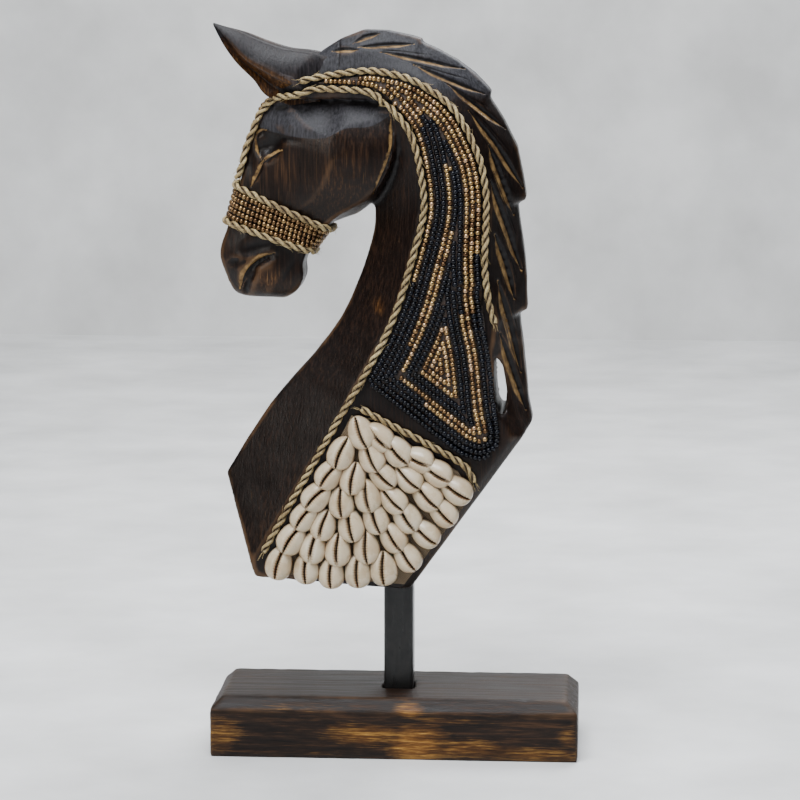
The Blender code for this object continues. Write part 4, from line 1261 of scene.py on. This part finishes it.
# place of each cowrie on the sheet and the way its narrow end points, in degrees from straight down
cowriePlaces = (
    (-18.4, 86.6, 24), (-9.1, 84.2, 48),
    (-29.2, 75.4, -20), (-12.9, 73.5, 25), (0.7, 76.7, 45), (12.3, 72.2, 70),
    (-35.8, 63.5, -36), (-22.8, 61.6, -8), (-6.7, 63.3, 48),
    (7.1, 62.2, 50), (22.2, 65.2, 62), (32.6, 56.0, 60),
    (-42.6, 51.5, -44), (-29.2, 48.4, 5), (-15.1, 52.2, 12), (-1.1, 50.3, 48), (17.2, 52.6, 46),
    (-49.2, 40.6, -36), (-39.0, 35.8, -15), (-24.1, 35.8, 12),
    (-10.7, 39.9, 20), (6.1, 40.9, 35), (25.7, 43.7, 45),
    (-56.2, 28.2, -32), (-44.6, 23.5, -10), (-31.2, 22.4, 0),
    (-15.7, 23.9, 5), (-1.3, 29.6, 35), (16.0, 32.0, 52),
    (6.3, 19.2, 35), (-63.1, 14.5, -14), (-48.4, 12.0, 0),
    (-34.8, 9.8, 0), (-20.4, 10.7, 3), (-6.4, 12.6, 4),
)
backing = {
    "gap": 0.3,
    "outline": (
        (-24, 95.5), (-17.5, 94.2), (-2.6, 85.4), (17.5, 74.9), (33.5, 65.6), (38.6, 56), (37.6, 48),
        (4.5, 3.4), (-68.6, 8.6), (-66.0, 19.4), (-54.4, 39.6), (-34.4, 75.2),
    ),
}


# The shell above one point of a square from -1 to 1: its place, and how much painted shade it gets in the
# slit, between the teeth and towards the rim
def cowriePoint(u, v):
    along = math.sin(u * math.pi / 2)
    egg = max(1 - abs(along) ** cowrie["ends"], 0) ** 0.5 * (1 + cowrie["egg"] * along)
    egg = max(egg, cowrie["thinnest"])
    v = math.copysign(abs(v) ** cowrie["crowded"], v)
    slit = cowrie["slitAt"] + cowrie["slitCurve"] * along * along - cowrie["slitSlant"] * along
    shelf = v - slit
    s = abs(shelf) / ((1 - slit) if shelf > 0 else (1 + slit))
    dome = max(1 - s ** cowrie["domeRound"], 0) ** cowrie["domeFull"]
    teeth = 0.5 + 0.5 * math.cos(2 * math.pi * cowrie["teeth"] * (along * 0.5 + 0.5))
    lip = max(0.0, 1 - s / cowrie["lipWidth"]) ** 2
    inner = max(0.0, 1 - abs(s - cowrie["toothAt"]) / cowrie["toothAt"])
    gap = min(1.0, max(0.0, 1.4 - s / (cowrie["slitWidth"] + cowrie["toothWidth"] * teeth)))
    height = dome * egg ** 0.6 * (1.0 if shelf > 0 else cowrie["lowHalf"])
    height -= (cowrie["lipDrop"] * lip + cowrie["toothHeight"] * teeth * inner) * min(1.0, egg * 1.4)
    height -= cowrie["slitDepth"] * gap * min(1.0, egg * 1.8 + 0.1)
    place = (
        along * cowrie["length"] / 2 * unit, v * egg * cowrie["width"] / 2 * unit,
        max(height, cowrie["least"]) * cowrie["height"] * unit,
    )
    rim = max(0.0, 1 - dome * egg / cowrie["rimFrom"])
    return place, max(gap, cowrie["toothShade"] * teeth * inner, cowrie["rimShade"] * rim)


# One shell on its back along X: an egg-shaped dome whose two lips roll into a toothed slit
def cowrieMesh():
    work = bmesh.new()
    bmesh.ops.create_grid(work, x_segments=cowrie["rings"], y_segments=cowrie["across"], size=1.0)
    dark = []
    for vert in work.verts:
        vert.co, shade = cowriePoint(vert.co.x, vert.co.y)
        dark.append(shade)
    made = bpy.data.meshes.new("cowrie")
    rim = [e for e in work.edges if e.is_boundary]
    skirt = bmesh.ops.extrude_edge_only(work, edges=rim)
    low = [part for part in skirt["geom"] if isinstance(part, bmesh.types.BMVert)]
    bmesh.ops.scale(work, vec=cowrie["foot"], verts=low)
    bmesh.ops.holes_fill(work, edges=[e for e in work.edges if e.is_boundary], sides=0)
    bmesh.ops.recalc_face_normals(work, faces=work.faces)
    work.to_mesh(made)
    # painted shade on the skirt under the shell's rim
    dark += [cowrie["footShade"]] * (len(work.verts) - len(dark))
    work.free()
    made.shade_smooth()
    return made, dark


# One side's shells, each leaning out of the wood at its narrow end
def shellPanel(name, side, one, dark):
    places = []
    tints = []
    low = sheet["halfThickness"] + backing["gap"] + cowrie["bed"]
    jitter = cowrie["turnJitter"]
    for x, z, degrees in cowriePlaces:
        turn = math.radians(degrees) + (random.uniform(-jitter, jitter) if side > 0 else 0)
        tilt = math.radians(cowrie["tilt"] + random.uniform(-cowrie["tiltJitter"], cowrie["tiltJitter"]))
        along = Vector((math.sin(turn), 0, -math.cos(turn)))
        out = Vector((0, side, 0))
        lean = along * math.cos(tilt) + out * math.sin(tilt)
        lift = out * math.cos(tilt) - along * math.sin(tilt)
        across = lift.cross(lean) * -side
        size = random.uniform(*cowrie["sizes"])
        middle = at(x, 0, z)
        middle.y = side * low * unit + side * cowrie["length"] / 2 * math.sin(tilt) * unit
        rows = zip(lean * size, across * size, lift * size, middle)
        places.append(Matrix([list(row) for row in rows] + [[0, 0, 0, 1]]))
        tints.append(random.random())
    piece = strewn(name, one, places, tints)
    # painted shade per vertex, carried as the slit attribute: in the slit, between the teeth, towards the
    # rim and on the skirt
    attribute(piece, "slit", np.tile(dark, len(places)))
    if side > 0:  # placed by a mirror, so inside out
        work = bmesh.new()
        work.from_mesh(piece.data)
        bmesh.ops.recalc_face_normals(work, faces=work.faces)
        work.to_mesh(piece.data)
        work.free()
    return piece


def shellBacking(name, side):
    work = bmesh.new()
    low = (sheet["halfThickness"] + backing["gap"]) * unit
    verts = [work.verts.new((at(x, 0, z).x, side * low, at(x, 0, z).z)) for x, z in backing["outline"]]
    face = work.faces.new(verts)
    lifted = bmesh.ops.extrude_face_region(work, geom=[face])
    moved = [part for part in lifted["geom"] if isinstance(part, bmesh.types.BMVert)]
    bmesh.ops.translate(work, vec=(0, side * cowrie["bed"] * unit, 0), verts=moved)
    bmesh.ops.recalc_face_normals(work, faces=work.faces)
    return keep(name, work)


def cowrieShell():
    shell = Finish("cowrieShell")
    slit = shell.attribute("slit")
    tint = shell.attribute("tint")
    stain = shell.cloud(90.0, 4.0)
    cream = shell.ramp(
        stain, (0.3, (0.41, 0.30, 0.18)), (0.55, (0.57, 0.47, 0.33)), (0.8, (0.69, 0.61, 0.49)),
    )
    cream = shell.mix(tint * 0.45, cream, (0.60, 0.46, 0.31))
    # painted shade: brown shading towards the rim, between the teeth, beside the slit and on the skirt
    cream = shell.mix(shell.grade(slit, 0.05, 0.5) * 0.8, cream, (0.32, 0.20, 0.10))
    # painted shade: the slit darkened to near black, and the skirt part way
    colour = shell.mix(shell.grade(slit, 0.45, 0.9), cream, (0.030, 0.015, 0.008))
    shell.shader.inputs["Subsurface Weight"].default_value = 0.05
    return shell.finished(Base_Color=colour, Roughness=shell.grade(stain, 0.3, 0.7, 0.22, 0.34))


def wovenBacking():
    cloth = Finish("wovenBacking")
    inputs = {"Vector": cloth.stretched((1.0, 1.0, 1.0), (0.0, 0.6, 0.0)), "Scale": 420.0}
    warp = cloth.node("TexWave", {"bands_direction": "X"}, inputs, "Fac")
    weft = cloth.node("TexWave", {"bands_direction": "Z"}, inputs, "Fac")
    weave = warp * 0.5 + weft * 0.5
    colour = cloth.ramp(weave, (0.2, (0.05, 0.032, 0.018)), (0.8, (0.26, 0.19, 0.11)))
    return cloth.finished(Base_Color=colour, Roughness=0.85, Normal=cloth.bump(weave, 0.8, 0.0005))


setStudio()
print("studio set")

horse = carveHorse()
wood = stainedWood()
fitted(horse, wood, "stained_wood", "carved_horse")
for word, side in sides.items():
    fitted(carveEar(word + "Ear", side), wood, "stained_wood", "carved_horse")
work = bmesh.new()
work.from_mesh(horse.data)
skin = BVHTree.FromBMesh(work)
work.free()
print("horse carved:", len(horse.data.polygons), "faces")

fitted(burnedBase(), burnedWood(), "burnt_wood", "base_block")
fitted(paintedPost(), blackPaint(), "black_paint", "post")
print("base and post made")

grass = dryGrass()
lift = ropes["diameter"] / 2 + 0.3
for word, side in sides.items():
    for part, line in (("front", frontRope), ("crest", crestRope), ("shell", shellRope)):
        path = laidLine(skin, smoothLine(line, 1.0), side, lift, 1.5)
        piece = twistedRope(part + "Rope" + word.capitalize(), skin, path)
        fitted(piece, grass, "plaited_fibre", part + "_rope_" + word)
for word, ends in (("upper", nosebandUpper), ("lower", nosebandLower)):
    ring = muzzleLoop(horse, *ends, ropes["diameter"] / 2 + 0.5, 1.5)
    piece = twistedRope("nosebandRope" + word.capitalize(), skin, ring, closed=True)
    fitted(piece, grass, "plaited_fibre", "noseband_rope_" + word)
print("ropes laid")

bead = beadMesh()
gold, black, glue = goldGlaze(), blackGlaze(), darkGlue()
for word, side in sides.items():
    placed = panelBeads(skin, side)
    for colour, glaze in (("gold", gold), ("black", black)):
        tints = [random.random() for _ in placed[colour]]
        piece = strewn(colour + "Beads" + word.capitalize(), bead, placed[colour], tints)
        fitted(piece, glaze, "seed_beads", "neck_beads_" + word)
    print(word, "panel:", len(placed["gold"]), "gold and", len(placed["black"]), "black beads")
    bed = beadBed("beadBed" + word.capitalize(), "neck_beads_" + word, skin)
    fitted(bed, glue, "seed_beads", "neck_beads_" + word)
for name, placed, node in (
    ("nosebandBeads", nosebandStrands(horse, skin), "noseband_beads"),
    ("faceBeads", faceStrandPlaces(skin), "face_beads"),
):
    piece = strewn(name, bead, placed, [0.55 * random.random() for _ in placed])
    fitted(piece, gold, "seed_beads", node)
print("beads strung")

one, dark = cowrieMesh()
shellFinish, clothFinish = cowrieShell(), wovenBacking()
for word, side in sides.items():
    shells = shellPanel("cowries" + word.capitalize(), side, one, dark)
    fitted(shells, shellFinish, "cowrie_shell", "shell_panel_" + word)
    cloth = shellBacking("backing" + word.capitalize(), side)
    fitted(cloth, clothFinish, "plaited_fibre", "shell_panel_" + word)
print("cowries set")
